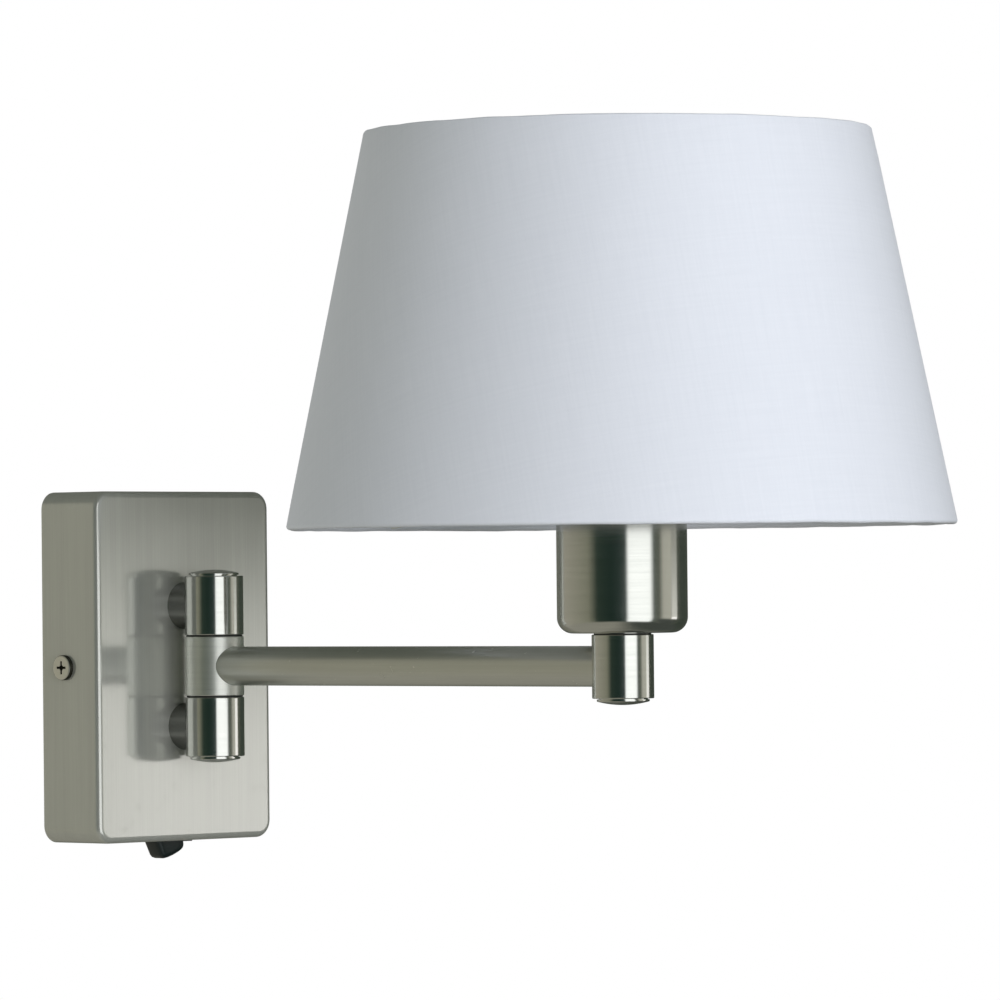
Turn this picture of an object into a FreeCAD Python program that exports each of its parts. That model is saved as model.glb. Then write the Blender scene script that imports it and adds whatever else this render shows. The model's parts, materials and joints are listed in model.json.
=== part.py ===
"""Swing-arm wall lamp: a switched wall box, a three-knuckle hinge, a straight arm and a shaded lamp head.

Millimetres. The wall is the plane Y = 0 and the lamp stands out of it towards -Y, with +Z up and +X to the
right of someone facing the wall. The origin is the centre of the wall bracket's back face, level with the arm.
Each sub-part is written to parts/NODE.step.
"""

import FreeCAD
import Part

import math
import os

V = FreeCAD.Vector
X_AXIS, Y_AXIS, Z_AXIS = V(1, 0, 0), V(0, 1, 0), V(0, 0, 1)

# ---------------------------------------------------------------- driving sizes
# Wall box cover, a pressed steel tray open towards the wall
BOX_WIDTH = 96.0
BOX_HEIGHT = 140.0
BOX_DEPTH = 32.0
BOX_WALL = 1.5
BOX_CORNER = 7.0
BOX_EDGE = 2.5

# Wall bracket, a cross of folded strip
BRACKET_THICKNESS = 1.6
BRACKET_BAR_WIDTH = 40.0
BRACKET_BAR_HEIGHT = 108.0
BRACKET_STRAP_HEIGHT = 22.0
BRACKET_CORNER = 4.0
EAR_CLEARANCE = 0.3
EAR_DEPTH = 20.0
EAR_COLLAR_RADIUS = 4.2
EAR_COLLAR_LENGTH = 2.4
WALL_SLOT_SPACING = 76.0
WALL_SLOT_WIDTH = 5.2
WALL_SLOT_LENGTH = 12.0
CABLE_HOLE_RADIUS = 9.5

# Side screws that hold the cover on the bracket
SIDE_SCREW_RADIUS = 2.5
SIDE_SCREW_HEAD_RADIUS = 5.0
SIDE_SCREW_HEAD_HEIGHT = 1.9
SCREW_HEAD_EDGE = 0.35
SIDE_SCREW_LENGTH = 9.0
SIDE_SCREW_FROM_WALL = 12.8

# Hinge column
KNUCKLE_RADIUS = 11.75
KNUCKLE_HEIGHT = 23.6
KNUCKLE_EDGE = 0.4
COLUMN_GAP = 5.25
PIVOT_RADIUS = 5.0
PIVOT_BORE_RADIUS = 4.0
HINGE_WASHER_THICKNESS = 0.5
HINGE_WASHER_RADIUS = 11.2
SWING_HALF_ANGLE = 68.0

# Domed caps that close the hinge column and the end barrel
CAP_RADIUS = 10.0
CAP_NECK = 0.35
CAP_RIM = 0.9
CAP_DOME = 1.25
CAP_HUB_RADIUS = 6.8
CAP_HUB_LENGTH = 4.3
CAP_POCKET_RADIUS = 7.0
CAP_POCKET_DEPTH = 5.5
SPRING_WASHER_THICKNESS = 0.5

# Standoff posts between the box and the fixed knuckles
POST_RADIUS = 9.5
STUD_RADIUS = 5.0
STUD_BORE_RADIUS = 3.7
LOCK_WASHER_RADIUS = 8.5
LOCK_WASHER_THICKNESS = 0.8
NUT_FLATS = 17.0
NUT_THICKNESS = 3.0
STUD_PAST_NUT = 1.2

# Arm
ARM_REACH = 222.0
TUBE_RADIUS = 7.75
TUBE_WALL = 1.5
BRAZE_DEPTH = 3.0

# End barrel, lamp cup and the hollow rod that clamps them
BARREL_RADIUS = 11.75
BARREL_HEIGHT = 24.2
SEAT_WASHER_RADIUS = 10.9
SEAT_WASHER_THICKNESS = 0.5
CUP_RADIUS = 24.75
CUP_HEIGHT = 48.0
CUP_WALL = 1.0
CUP_CORNER = 6.0
ROD_PAST_NUT = 7.4

# Lamp lead, a sleeved bundle of three cores
LEAD_RADIUS = 2.2
LEAD_BEND = 4.0
LEAD_PASSAGE_RADIUS = 3.6
LEAD_WINDOW_RADIUS = 3.5
LEAD_JOINT_GAP = 0.4
CORE_RADIUS = 0.85
WIRE_RADIUS = 1.0

# Screw-base lampholder (27 mm thread)
HOLDER_BASE_RADIUS = 17.5
HOLDER_BASE_HEIGHT = 21.2
HOLDER_WALL = 2.3
HOLDER_LIP_RADIUS = 16.6
HOLDER_LIP_HEIGHT = 5.0
HOLDER_NECK_RADIUS = 8.5
SKIRT_RADIUS = 18.6
SKIRT_HEIGHT = 40.0
SKIRT_BORE_RADIUS = 13.6
SKIRT_THREAD_RADIUS = 19.7
SKIRT_THREAD_DEPTH = 0.6
SKIRT_THREAD_PITCH = 2.5
SKIRT_THREAD_TURNS = 6
CONTACT_BLOCK_THICKNESS = 8.0

# Shade fitter rings and wire carrier
RING_RADIUS = 26.0
LOWER_RING_HEIGHT = 4.0
UPPER_RING_HEIGHT = 5.0
RING_ABOVE_CUP = 1.0
RING_NOTCHES = 16
CARRIER_HOLE_RADIUS = 21.0
CARRIER_THICKNESS = 1.5
SPOKE_RADIUS = 1.5
SPOKE_COUNT = 3
FRAME_WIRE_RADIUS = 1.7

# Shade, a tapered drum of cloth bonded to a stiff lining
SHADE_BOTTOM_RADIUS = 127.0
SHADE_TOP_RADIUS = 96.0
SHADE_HEIGHT = 150.0
SHADE_BELOW_CUP_RIM = 8.0
SHADE_CLOTH = 0.6
SHADE_LINING = 0.5
FRAME_WIRE_INSET = 2.3

# Bulb
BULB_RADIUS = 30.0
BULB_NECK_RADIUS = 13.2
BULB_GLASS = 0.8
BULB_LENGTH = 108.0
BULB_THREAD_RADIUS = 13.15
BULB_THREAD_PITCH = 3.6
BULB_THREAD_TURNS = 6

# Rocker switch in the floor of the box
SWITCH_FROM_WALL = 18.5
ROCKER_LENGTH = 16.0
ROCKER_WIDTH = 9.2
ROCKER_DEPTH = 7.3
ROCKER_BELLY = 0.8
ROCKER_DRAFT = 1.3
ROCKER_CORNER = 2.0
ROCKER_EDGE = 0.8
ROCKER_ABOVE_PIVOT = 3.0
ROCKER_TILT = 19.0
ROCKER_PIN_RADIUS = 1.0
ROCKER_HUB_RADIUS = 3.5
ROCKER_HUB_HEIGHT = 0.2
ROCKER_PIVOT_HEIGHT = 1.2
ROCKER_SIDE_CLEARANCE = 0.35
ROCKER_END_CLEARANCE = 0.6
SWITCH_WALL = 0.6
SWITCH_LIP = 0.6
SWITCH_HEIGHT = 18.0
SWITCH_CAVITY = 10.0
BLADE_SPACING = 9.0
BLADE_WIDTH = 4.8
BLADE_THICKNESS = 0.8
BLADE_LENGTH = 7.0

# Terminal block
POLE_COUNT = 4
POLE_PITCH = 10.0
POLE_WIDTH = 7.6
BLOCK_LENGTH = 16.0
BLOCK_BASE = 5.0
BLOCK_HEIGHT = 11.6
BLOCK_ABOVE_HOLE = 3.5
CLAMP_RADIUS = 2.4
CLAMP_BORE_RADIUS = 1.8
CLAMP_SCREW_RADIUS = 1.45
BLOCK_SCREW_RADIUS = 1.2
BLOCK_SCREW_HEAD_RADIUS = 2.0

# Earth screw and ring tag on the bracket
EARTH_SCREW_RADIUS = 2.0
EARTH_HEAD_RADIUS = 3.6
EARTH_HEAD_HEIGHT = 2.4
EARTH_TAG_RADIUS = 4.0
EARTH_TAG_THICKNESS = 0.8

# Clearances on the radius
RUNNING = 0.05
THREAD = 0.05
BRAZE = 0.05
HOLE = 0.2
FACE = 0.05

# ---------------------------------------------------------------- places worked out from the sizes
COLUMN_Y = -(BOX_DEPTH + COLUMN_GAP + KNUCKLE_RADIUS)
LAMP_Y = COLUMN_Y - ARM_REACH
KNUCKLE_GAP = HINGE_WASHER_THICKNESS + 2 * FACE
KNUCKLE_STEP = KNUCKLE_HEIGHT + KNUCKLE_GAP
COLUMN_END = KNUCKLE_STEP + KNUCKLE_HEIGHT / 2
TUBE_BORE_RADIUS = TUBE_RADIUS - TUBE_WALL

BOX_INSIDE_HALF = BOX_WIDTH / 2 - BOX_WALL
BOX_INSIDE_FACE = -(BOX_DEPTH - BOX_WALL)
BOX_FLOOR = -BOX_HEIGHT / 2
NUT_NEAR = BOX_INSIDE_FACE + LOCK_WASHER_THICKNESS
STUD_BACK = NUT_NEAR + NUT_THICKNESS + STUD_PAST_NUT
STUD_FRONT = COLUMN_Y + PIVOT_RADIUS + 0.6

BARREL_TOP = BARREL_HEIGHT / 2
CUP_BOTTOM = BARREL_TOP + SEAT_WASHER_THICKNESS
CUP_FLOOR = CUP_BOTTOM + CUP_WALL
CUP_RIM = CUP_BOTTOM + CUP_HEIGHT
ROD_TOP = CUP_FLOOR + NUT_THICKNESS + ROD_PAST_NUT
HOLDER_BOTTOM = CUP_FLOOR + NUT_THICKNESS + 0.4
HOLDER_SHOULDER = HOLDER_BOTTOM + HOLDER_BASE_HEIGHT
SKIRT_SHELF = HOLDER_SHOULDER + HOLDER_LIP_HEIGHT + 0.5
SKIRT_TOP = HOLDER_SHOULDER + SKIRT_HEIGHT
CONTACT_BLOCK_TOP = SKIRT_SHELF - 0.1
CONTACT_BLOCK_BOTTOM = CONTACT_BLOCK_TOP - CONTACT_BLOCK_THICKNESS

LOWER_RING_BOTTOM = CUP_RIM + RING_ABOVE_CUP
CARRIER_BOTTOM = LOWER_RING_BOTTOM + LOWER_RING_HEIGHT
UPPER_RING_BOTTOM = CARRIER_BOTTOM + CARRIER_THICKNESS
SHADE_BOTTOM = CUP_RIM - SHADE_BELOW_CUP_RIM
SHADE_TOP = SHADE_BOTTOM + SHADE_HEIGHT

BULB_BOTTOM = CONTACT_BLOCK_TOP + 3.6
BULB_TOP = BULB_BOTTOM + BULB_LENGTH
BULB_CENTRE = BULB_TOP - BULB_RADIUS
BULB_NECK_BOTTOM = SKIRT_TOP - 1.0
BULB_THREAD_TOP = SKIRT_TOP + 0.8

SWITCH_Y = -SWITCH_FROM_WALL
ROCKER_PIVOT_Z = BOX_FLOOR + ROCKER_PIVOT_HEIGHT
CAVITY_HALF_X = ROCKER_LENGTH / 2 + ROCKER_END_CLEARANCE
CAVITY_HALF_Y = ROCKER_WIDTH / 2 + ROCKER_SIDE_CLEARANCE
NECK_HALF_X = CAVITY_HALF_X + SWITCH_WALL
NECK_HALF_Y = CAVITY_HALF_Y + SWITCH_WALL
SWITCH_TOP = BOX_FLOOR + SWITCH_HEIGHT

BLOCK_BOTTOM = CABLE_HOLE_RADIUS + BLOCK_ABOVE_HOLE
BLOCK_TOP = BLOCK_BOTTOM + BLOCK_LENGTH
BLOCK_MIDDLE = (BLOCK_BOTTOM + BLOCK_TOP) / 2
CLAMP_Y = -(BRACKET_THICKNESS + BLOCK_HEIGHT * 0.46)
SLEEVE_TOP = -4.0
SLEEVE_Y = -9.0
EARTH_X = BRACKET_BAR_WIDTH / 2 - 6.0
EARTH_Z = -(BRACKET_STRAP_HEIGHT / 2 + 7.0)


# ---------------------------------------------------------------- shape helpers
def rod(radius, start, end):
    """A solid round bar from one point to another."""
    along = end - start
    return Part.makeCylinder(radius, along.Length, start, along)


def pipe(outer, inner, start, end):
    """A round bar with a bore right through it."""
    along = (end - start).normalize()
    return rod(outer, start, end).cut(rod(inner, start - along, end + along))


def block(x, y, z):
    """A box between the (low, high) pairs x, y and z."""
    return Part.makeBox(x[1] - x[0], y[1] - y[0], z[1] - z[0], V(x[0], y[0], z[0]))


def span(middle, width):
    """The (low, high) pair of that width about a middle."""
    return (middle - width / 2, middle + width / 2)


def rounded_slab(width, height, corner, back, front):
    """A rounded rectangle in X and Z about the Y axis, from Y = back to Y = front."""
    slab = block(span(0, width), (min(back, front), max(back, front)), span(0, height))
    edges = [edge for edge in slab.Edges if abs(edge.tangentAt(edge.FirstParameter).y) > 0.9]
    return slab.makeFillet(corner, edges)


def edges_at(shape, axis, place):
    """The edges of a shape that lie wholly in one plane across an axis: 0 is X, 1 is Y and 2 is Z."""
    found = []
    for edge in shape.Edges:
        box = edge.BoundBox
        low, high = ((box.XMin, box.XMax), (box.YMin, box.YMax), (box.ZMin, box.ZMax))[axis]
        if abs(low - place) < 0.01 and abs(high - place) < 0.01:
            found.append(edge)
    return found


def turned(outline, y):
    """A solid of revolution about the vertical line X = 0, Y = y.

    The outline is a list of (radius, z) points; an entry may be a pair (through, end) of such points, which
    makes an arc.
    """
    def place(point):
        return V(point[0], y, point[1])

    edges = []
    here = place(outline[0])
    for step in outline[1:] + outline[:1]:
        if isinstance(step[0], tuple):
            through, end = place(step[0]), place(step[1])
            edges.append(Part.Arc(here, through, end).toShape())
        else:
            end = place(step)
            if here.isEqual(end, 1e-6):
                continue
            edges.append(Part.LineSegment(here, end).toShape())
        here = end
    return Part.Face(Part.Wire(edges)).revolve(V(0, y, 0), Z_AXIS, 360)


def arc_point(centre, radius, angle):
    """The (radius, z) point at an angle in degrees round a centre."""
    turn = math.radians(angle)
    return (centre[0] + radius * math.cos(turn), centre[1] + radius * math.sin(turn))


def hex_nut(flats, bore, base, axis, thickness):
    """A hexagon nut on an axis, with its corners turned off."""
    corner = flats / math.sqrt(3)
    nut = Part.Face(Part.makePolygon([V(corner * math.cos(math.radians(60 * i)),
                                        corner * math.sin(math.radians(60 * i)), 0)
                                      for i in range(7)])).extrude(V(0, 0, thickness))
    nut = nut.common(Part.makeCone(corner - 0.7, corner + 2.0, thickness))
    nut = nut.cut(rod(bore, V(0, 0, -1), V(0, 0, thickness + 1)))
    nut.Placement = FreeCAD.Placement(base, FreeCAD.Rotation(Z_AXIS, axis))
    return nut


def bent_rod(points, radius, bends):
    """A round rod along straight runs joined by tangent arcs, with one bend radius for each inner point."""
    pieces = []
    here = points[0]
    for corner, after, bend in zip(points[1:-1], points[2:], bends):
        incoming = (corner - here).normalize()
        outgoing = (after - corner).normalize()
        turn = incoming.getAngle(outgoing)
        reach = bend * math.tan(turn / 2)
        start = corner - incoming * reach
        if (start - here).Length > 1e-6:
            pieces.append(rod(radius, here, start))
        axis = incoming.cross(outgoing).normalize()
        section = Part.Face(Part.Wire(Part.makeCircle(radius, start, incoming)))
        pieces.append(section.revolve(start + axis.cross(incoming) * bend, axis, math.degrees(turn)))
        here = corner + outgoing * reach
    pieces.append(rod(radius, here, points[-1]))
    return pieces[0].fuse(pieces[1:]) if len(pieces) > 1 else pieces[0]


def cross_recess(radius, depth, face, inward):
    """The cutter for a cross-head recess of a given reach, sunk inwards from a point on a screw's head."""
    width = radius * 0.36
    arms = [Part.makeBox(2 * radius, width, depth, V(-radius, -width / 2, 0)),
            Part.makeBox(width, 2 * radius, depth, V(-width / 2, -radius, 0))]
    core = Part.makeCone(radius * 0.45, radius * 0.15, depth * 1.3)
    cutter = arms[0].fuse([arms[1], core])
    cutter.Placement = FreeCAD.Placement(face, FreeCAD.Rotation(Z_AXIS, inward))
    return cutter


def pan_screw(head_radius, head_height, shank_radius, length, seat, inward):
    """A cross-head screw with a low round head, its seat at a point and its shank running inwards."""
    head = Part.makeCylinder(head_radius, head_height)
    head = head.makeFillet(head_height * SCREW_HEAD_EDGE, edges_at(head, 2, head_height))
    head.Placement = FreeCAD.Placement(seat, FreeCAD.Rotation(Z_AXIS, inward * -1))
    screw = head.fuse(rod(shank_radius, seat, seat + inward * length)).removeSplitter()
    top = seat - inward * head_height
    return screw.cut(cross_recess(head_radius * 0.52, head_height * 0.75, top, inward))


def at_column(z):
    return V(0, COLUMN_Y, z)


def at_lamp(z):
    return V(0, LAMP_Y, z)


# ---------------------------------------------------------------- wall box
def box_cover():
    outer = rounded_slab(BOX_WIDTH, BOX_HEIGHT, BOX_CORNER, 0, -BOX_DEPTH)
    outer = outer.makeFillet(BOX_EDGE, edges_at(outer, 1, -BOX_DEPTH))
    inner = rounded_slab(BOX_WIDTH - 2 * BOX_WALL, BOX_HEIGHT - 2 * BOX_WALL,
                         max(BOX_CORNER - BOX_WALL, 0.5), 1, BOX_INSIDE_FACE)
    inner = inner.makeFillet(max(BOX_EDGE - BOX_WALL, 0.3), edges_at(inner, 1, BOX_INSIDE_FACE))
    cover = outer.cut(inner)
    for z in (KNUCKLE_STEP, -KNUCKLE_STEP):
        cover = cover.cut(rod(STUD_RADIUS + HOLE, V(0, -BOX_DEPTH - 1, z), V(0, BOX_INSIDE_FACE + 1, z)))
    cover = cover.cut(rod(SIDE_SCREW_RADIUS + HOLE, V(-BOX_WIDTH, -SIDE_SCREW_FROM_WALL, 0),
                          V(BOX_WIDTH, -SIDE_SCREW_FROM_WALL, 0)))
    return cover.cut(block(span(0, 2 * (NECK_HALF_X + HOLE)), span(SWITCH_Y, 2 * (NECK_HALF_Y + HOLE)),
                           span(BOX_FLOOR, 4 * BOX_WALL)))


def wall_bracket():
    ear_outside = BOX_INSIDE_HALF - EAR_CLEARANCE
    ear_inside = ear_outside - BRACKET_THICKNESS
    bar = rounded_slab(BRACKET_BAR_WIDTH, BRACKET_BAR_HEIGHT, BRACKET_CORNER, 0, -BRACKET_THICKNESS)
    strap = block(span(0, 2 * ear_outside), (-EAR_DEPTH, 0), span(0, BRACKET_STRAP_HEIGHT))
    fold = [edge for edge in edges_at(strap, 1, 0) if edge.tangentAt(edge.FirstParameter).z ** 2 > 0.9]
    strap = strap.makeFillet(2 * BRACKET_THICKNESS, fold)
    hollow = block(span(0, 2 * ear_inside), (-EAR_DEPTH - 1, -BRACKET_THICKNESS),
                   span(0, BRACKET_STRAP_HEIGHT + 2))
    fold = [edge for edge in edges_at(hollow, 1, -BRACKET_THICKNESS)
            if edge.tangentAt(edge.FirstParameter).z ** 2 > 0.9]
    strap = strap.cut(hollow.makeFillet(BRACKET_THICKNESS, fold))
    bracket = bar.fuse(strap)
    for side in (-1, 1):
        seat = V(side * ear_inside, -SIDE_SCREW_FROM_WALL, 0)
        bracket = bracket.fuse(rod(EAR_COLLAR_RADIUS, seat, seat - X_AXIS * side * EAR_COLLAR_LENGTH))
    bracket = bracket.removeSplitter()
    bracket = bracket.cut(rod(SIDE_SCREW_RADIUS + THREAD, V(-BOX_WIDTH, -SIDE_SCREW_FROM_WALL, 0),
                              V(BOX_WIDTH, -SIDE_SCREW_FROM_WALL, 0)))
    bracket = bracket.cut(rod(CABLE_HOLE_RADIUS, V(0, 1, 0), V(0, -BRACKET_THICKNESS - 1, 0)))
    for z in (WALL_SLOT_SPACING / 2, -WALL_SLOT_SPACING / 2):
        half = (WALL_SLOT_LENGTH - WALL_SLOT_WIDTH) / 2
        bracket = bracket.cut(block(span(0, WALL_SLOT_WIDTH), (-BRACKET_THICKNESS - 1, 1), span(z, 2 * half)))
        for end in (z - half, z + half):
            bracket = bracket.cut(rod(WALL_SLOT_WIDTH / 2, V(0, 1, end), V(0, -BRACKET_THICKNESS - 1, end)))
    for x, z, radius in ((0, BLOCK_MIDDLE, BLOCK_SCREW_RADIUS), (EARTH_X, EARTH_Z, EARTH_SCREW_RADIUS)):
        bracket = bracket.cut(rod(radius + THREAD, V(x, 1, z), V(x, -BRACKET_THICKNESS - 1, z)))
    return bracket


def side_screws():
    return [pan_screw(SIDE_SCREW_HEAD_RADIUS, SIDE_SCREW_HEAD_HEIGHT, SIDE_SCREW_RADIUS, SIDE_SCREW_LENGTH,
                      V(side * BOX_WIDTH / 2, -SIDE_SCREW_FROM_WALL, 0), V(-side, 0, 0))
            for side in (-1, 1)]


# ---------------------------------------------------------------- terminal block and earth
def pole_places():
    return [(i - (POLE_COUNT - 1) / 2) * POLE_PITCH for i in range(POLE_COUNT)]


def clamp_screw_heights():
    return (BLOCK_MIDDLE - BLOCK_LENGTH * 0.22, BLOCK_MIDDLE + BLOCK_LENGTH * 0.22)


def terminal_block():
    front = -(BRACKET_THICKNESS + BLOCK_HEIGHT)
    body = block(span(0, POLE_PITCH * (POLE_COUNT - 1) + POLE_WIDTH),
                 (-(BRACKET_THICKNESS + BLOCK_BASE), -BRACKET_THICKNESS), (BLOCK_BOTTOM + 1, BLOCK_TOP - 1))
    for x in pole_places():
        pole = block(span(x, POLE_WIDTH), (front, -BRACKET_THICKNESS), (BLOCK_BOTTOM, BLOCK_TOP))
        pole = pole.makeFillet(1.2, edges_at(pole, 1, front))
        body = body.fuse(pole)
    body = body.removeSplitter()
    for x in pole_places():
        body = body.cut(rod(CLAMP_RADIUS + FACE, V(x, CLAMP_Y, BLOCK_BOTTOM - 1), V(x, CLAMP_Y, BLOCK_TOP + 1)))
        for z in clamp_screw_heights():
            body = body.cut(rod(CLAMP_SCREW_RADIUS + 0.5, V(x, CLAMP_Y, z), V(x, front - 1, z)))
    seat = -(BRACKET_THICKNESS + BLOCK_BASE)
    body = body.cut(rod(BLOCK_SCREW_RADIUS + HOLE, V(0, 0, BLOCK_MIDDLE), V(0, seat - 1, BLOCK_MIDDLE)))
    return body.cut(rod(BLOCK_SCREW_HEAD_RADIUS + HOLE, V(0, seat, BLOCK_MIDDLE), V(0, front - 1, BLOCK_MIDDLE)))


def terminal_clamps():
    clamps = []
    for x in pole_places():
        clamp = pipe(CLAMP_RADIUS, CLAMP_BORE_RADIUS, V(x, CLAMP_Y, BLOCK_BOTTOM + 1), V(x, CLAMP_Y, BLOCK_TOP - 1))
        for z in clamp_screw_heights():
            clamp = clamp.cut(rod(CLAMP_SCREW_RADIUS + THREAD, V(x, CLAMP_Y, z), V(x, CLAMP_Y - 5, z)))
        clamps.append(clamp)
    return clamps


def terminal_screws():
    screws = []
    tip = CLAMP_Y - CLAMP_BORE_RADIUS + 0.4
    head = -(BRACKET_THICKNESS + BLOCK_HEIGHT - 1.0)
    for x in pole_places():
        for z in clamp_screw_heights():
            screw = rod(CLAMP_SCREW_RADIUS, V(x, tip, z), V(x, head, z))
            screws.append(screw.cut(block(span(x, 4), (head - 1, head + 0.8), span(z, 0.6))))
    return screws


def terminal_block_screw():
    seat = -(BRACKET_THICKNESS + BLOCK_BASE)
    return pan_screw(BLOCK_SCREW_HEAD_RADIUS, 1.4, BLOCK_SCREW_RADIUS, BLOCK_BASE + BRACKET_THICKNESS,
                     V(0, seat, BLOCK_MIDDLE), Y_AXIS)


def earth_tag():
    near = -(BRACKET_THICKNESS + EARTH_TAG_THICKNESS)
    tag = rod(EARTH_TAG_RADIUS, V(EARTH_X, -BRACKET_THICKNESS, EARTH_Z), V(EARTH_X, near, EARTH_Z))
    tail = block(span(EARTH_X, 3.2), (near, -BRACKET_THICKNESS), (EARTH_Z, EARTH_Z + 7.0))
    barrel_y = near - WIRE_RADIUS + 0.2
    barrel = rod(WIRE_RADIUS + 0.6, V(EARTH_X, barrel_y, EARTH_Z + 5.5), V(EARTH_X, barrel_y, EARTH_Z + 11.0))
    tag = tag.fuse([tail, barrel]).removeSplitter()
    tag = tag.cut(block(span(EARTH_X, 8), (-BRACKET_THICKNESS, 1), (EARTH_Z - 9, EARTH_Z + 12)))
    tag = tag.cut(rod(WIRE_RADIUS + FACE, V(EARTH_X, barrel_y, EARTH_Z + 6.5), V(EARTH_X, barrel_y, EARTH_Z + 12)))
    return tag.cut(rod(EARTH_SCREW_RADIUS + HOLE, V(EARTH_X, 1, EARTH_Z), V(EARTH_X, near - 1, EARTH_Z)))


def earth_screw():
    seat = -(BRACKET_THICKNESS + EARTH_TAG_THICKNESS)
    return pan_screw(EARTH_HEAD_RADIUS, EARTH_HEAD_HEIGHT, EARTH_SCREW_RADIUS,
                     BRACKET_THICKNESS + EARTH_TAG_THICKNESS, V(EARTH_X, seat, EARTH_Z), Y_AXIS)


# ---------------------------------------------------------------- switch
def switch_housing():
    lip_half_x, lip_half_y = NECK_HALF_X + 0.7, NECK_HALF_Y + 0.7
    lip = block(span(0, 2 * lip_half_x), span(SWITCH_Y, 2 * lip_half_y), (BOX_FLOOR - SWITCH_LIP, BOX_FLOOR))
    neck = block(span(0, 2 * NECK_HALF_X), span(SWITCH_Y, 2 * NECK_HALF_Y), (BOX_FLOOR - SWITCH_LIP, SWITCH_TOP))
    catch_low = BOX_FLOOR + BOX_WALL + 0.1
    catches = [block(span(side * NECK_HALF_X, 1.0), span(SWITCH_Y, 5.0), (catch_low, catch_low + 3.0))
               for side in (-1, 1)]
    body = lip.fuse([neck] + catches).removeSplitter()
    body = body.cut(block(span(0, 2 * CAVITY_HALF_X), span(SWITCH_Y, 2 * CAVITY_HALF_Y),
                          (BOX_FLOOR - SWITCH_LIP - 1, BOX_FLOOR + SWITCH_CAVITY)))
    body = body.cut(rod(ROCKER_PIN_RADIUS + RUNNING, V(0, SWITCH_Y - NECK_HALF_Y - 2, ROCKER_PIVOT_Z),
                        V(0, SWITCH_Y + NECK_HALF_Y + 2, ROCKER_PIVOT_Z)))
    for side in (-1, 1):
        body = body.cut(blade_slot(side))
    return body


def blade_slot(side):
    return block(span(side * BLADE_SPACING / 2, BLADE_THICKNESS), span(SWITCH_Y, BLADE_WIDTH),
                 (SWITCH_TOP - 4.0, SWITCH_TOP + 1))


def switch_blades():
    return [block(span(side * BLADE_SPACING / 2, BLADE_THICKNESS), span(SWITCH_Y, BLADE_WIDTH),
                  (SWITCH_TOP - 4.0, SWITCH_TOP + BLADE_LENGTH)) for side in (-1, 1)]


def spade_connectors():
    sleeves = []
    for side in (-1, 1):
        x = side * BLADE_SPACING / 2
        low, high = SWITCH_TOP + 0.5, SWITCH_TOP + BLADE_LENGTH + 3.5
        sleeve = block(span(x, 3.4), span(SWITCH_Y, BLADE_WIDTH + 1.8), (low, high))
        sleeve = sleeve.makeFillet(0.9, [e for e in sleeve.Edges if abs(e.tangentAt(e.FirstParameter).z) > 0.9])
        sleeve = sleeve.cut(block(span(x, BLADE_THICKNESS + 2 * FACE), span(SWITCH_Y, BLADE_WIDTH + 2 * FACE),
                                  (low - 1, SWITCH_TOP + BLADE_LENGTH + 0.3)))
        sleeves.append(sleeve.cut(rod(WIRE_RADIUS + FACE, V(x, SWITCH_Y, high - 2.0), V(x, SWITCH_Y, high + 1))))
    return sleeves


def switch_rocker():
    """The rocker, drawn level and then tipped so that its left end stands out."""
    half, bottom, top = ROCKER_LENGTH / 2, -ROCKER_DEPTH, ROCKER_ABOVE_PIVOT
    near = SWITCH_Y - ROCKER_WIDTH / 2
    foot = half - ROCKER_DRAFT
    corners = [V(x, near, z) for x, z in
               [(foot, bottom), (half, 0), (foot, top), (-foot, top), (-half, 0), (-foot, bottom)]]
    belly = Part.Arc(corners[-1], V(0, near, bottom - ROCKER_BELLY), corners[0]).toShape()
    side = Part.Wire(Part.makePolygon(corners).Edges + [belly])
    cap = Part.Face(side).extrude(V(0, ROCKER_WIDTH, 0))
    low_corners = [edge for edge in cap.Edges
                   if abs(edge.tangentAt(edge.FirstParameter).y) > 0.9 and
                   abs(edge.BoundBox.ZMax - bottom) < 0.01]
    cap = cap.makeFillet(ROCKER_CORNER, low_corners)
    belly_edges = [edge for edge in cap.Edges if edge.BoundBox.ZMax < bottom + ROCKER_DRAFT and
                   abs(edge.tangentAt(edge.FirstParameter).y) < 0.1]
    cap = cap.makeFillet(ROCKER_EDGE, belly_edges)
    inside = block(span(0, ROCKER_LENGTH - 4.4), span(SWITCH_Y, ROCKER_WIDTH - 2.4), (ROCKER_PIN_RADIUS + 0.6, top + 1))
    cap = cap.cut(inside)
    hub_half = ROCKER_WIDTH / 2 + ROCKER_HUB_HEIGHT
    pin_half = NECK_HALF_Y - FACE
    cap = cap.fuse([rod(ROCKER_HUB_RADIUS, V(0, SWITCH_Y - hub_half, 0), V(0, SWITCH_Y - hub_half + 1, 0)),
                    rod(ROCKER_HUB_RADIUS, V(0, SWITCH_Y + hub_half - 1, 0), V(0, SWITCH_Y + hub_half, 0)),
                    rod(ROCKER_PIN_RADIUS, V(0, SWITCH_Y - pin_half, 0), V(0, SWITCH_Y + pin_half, 0))])
    cap = cap.removeSplitter()
    cap.rotate(V(0, 0, 0), Y_AXIS, -ROCKER_TILT)
    cap.translate(V(0, 0, ROCKER_PIVOT_Z))
    return cap


# ---------------------------------------------------------------- posts and hinge column
def post_collar(z):
    collar = pipe(POST_RADIUS, STUD_RADIUS + HOLE, V(0, -BOX_DEPTH, z), V(0, COLUMN_Y, z))
    return collar.cut(rod(KNUCKLE_RADIUS + FACE, at_column(-BOX_HEIGHT), at_column(BOX_HEIGHT)))


def post_studs():
    return [pipe(STUD_RADIUS, STUD_BORE_RADIUS, V(0, STUD_BACK, z), V(0, STUD_FRONT, z))
            for z in (KNUCKLE_STEP, -KNUCKLE_STEP)]


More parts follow.
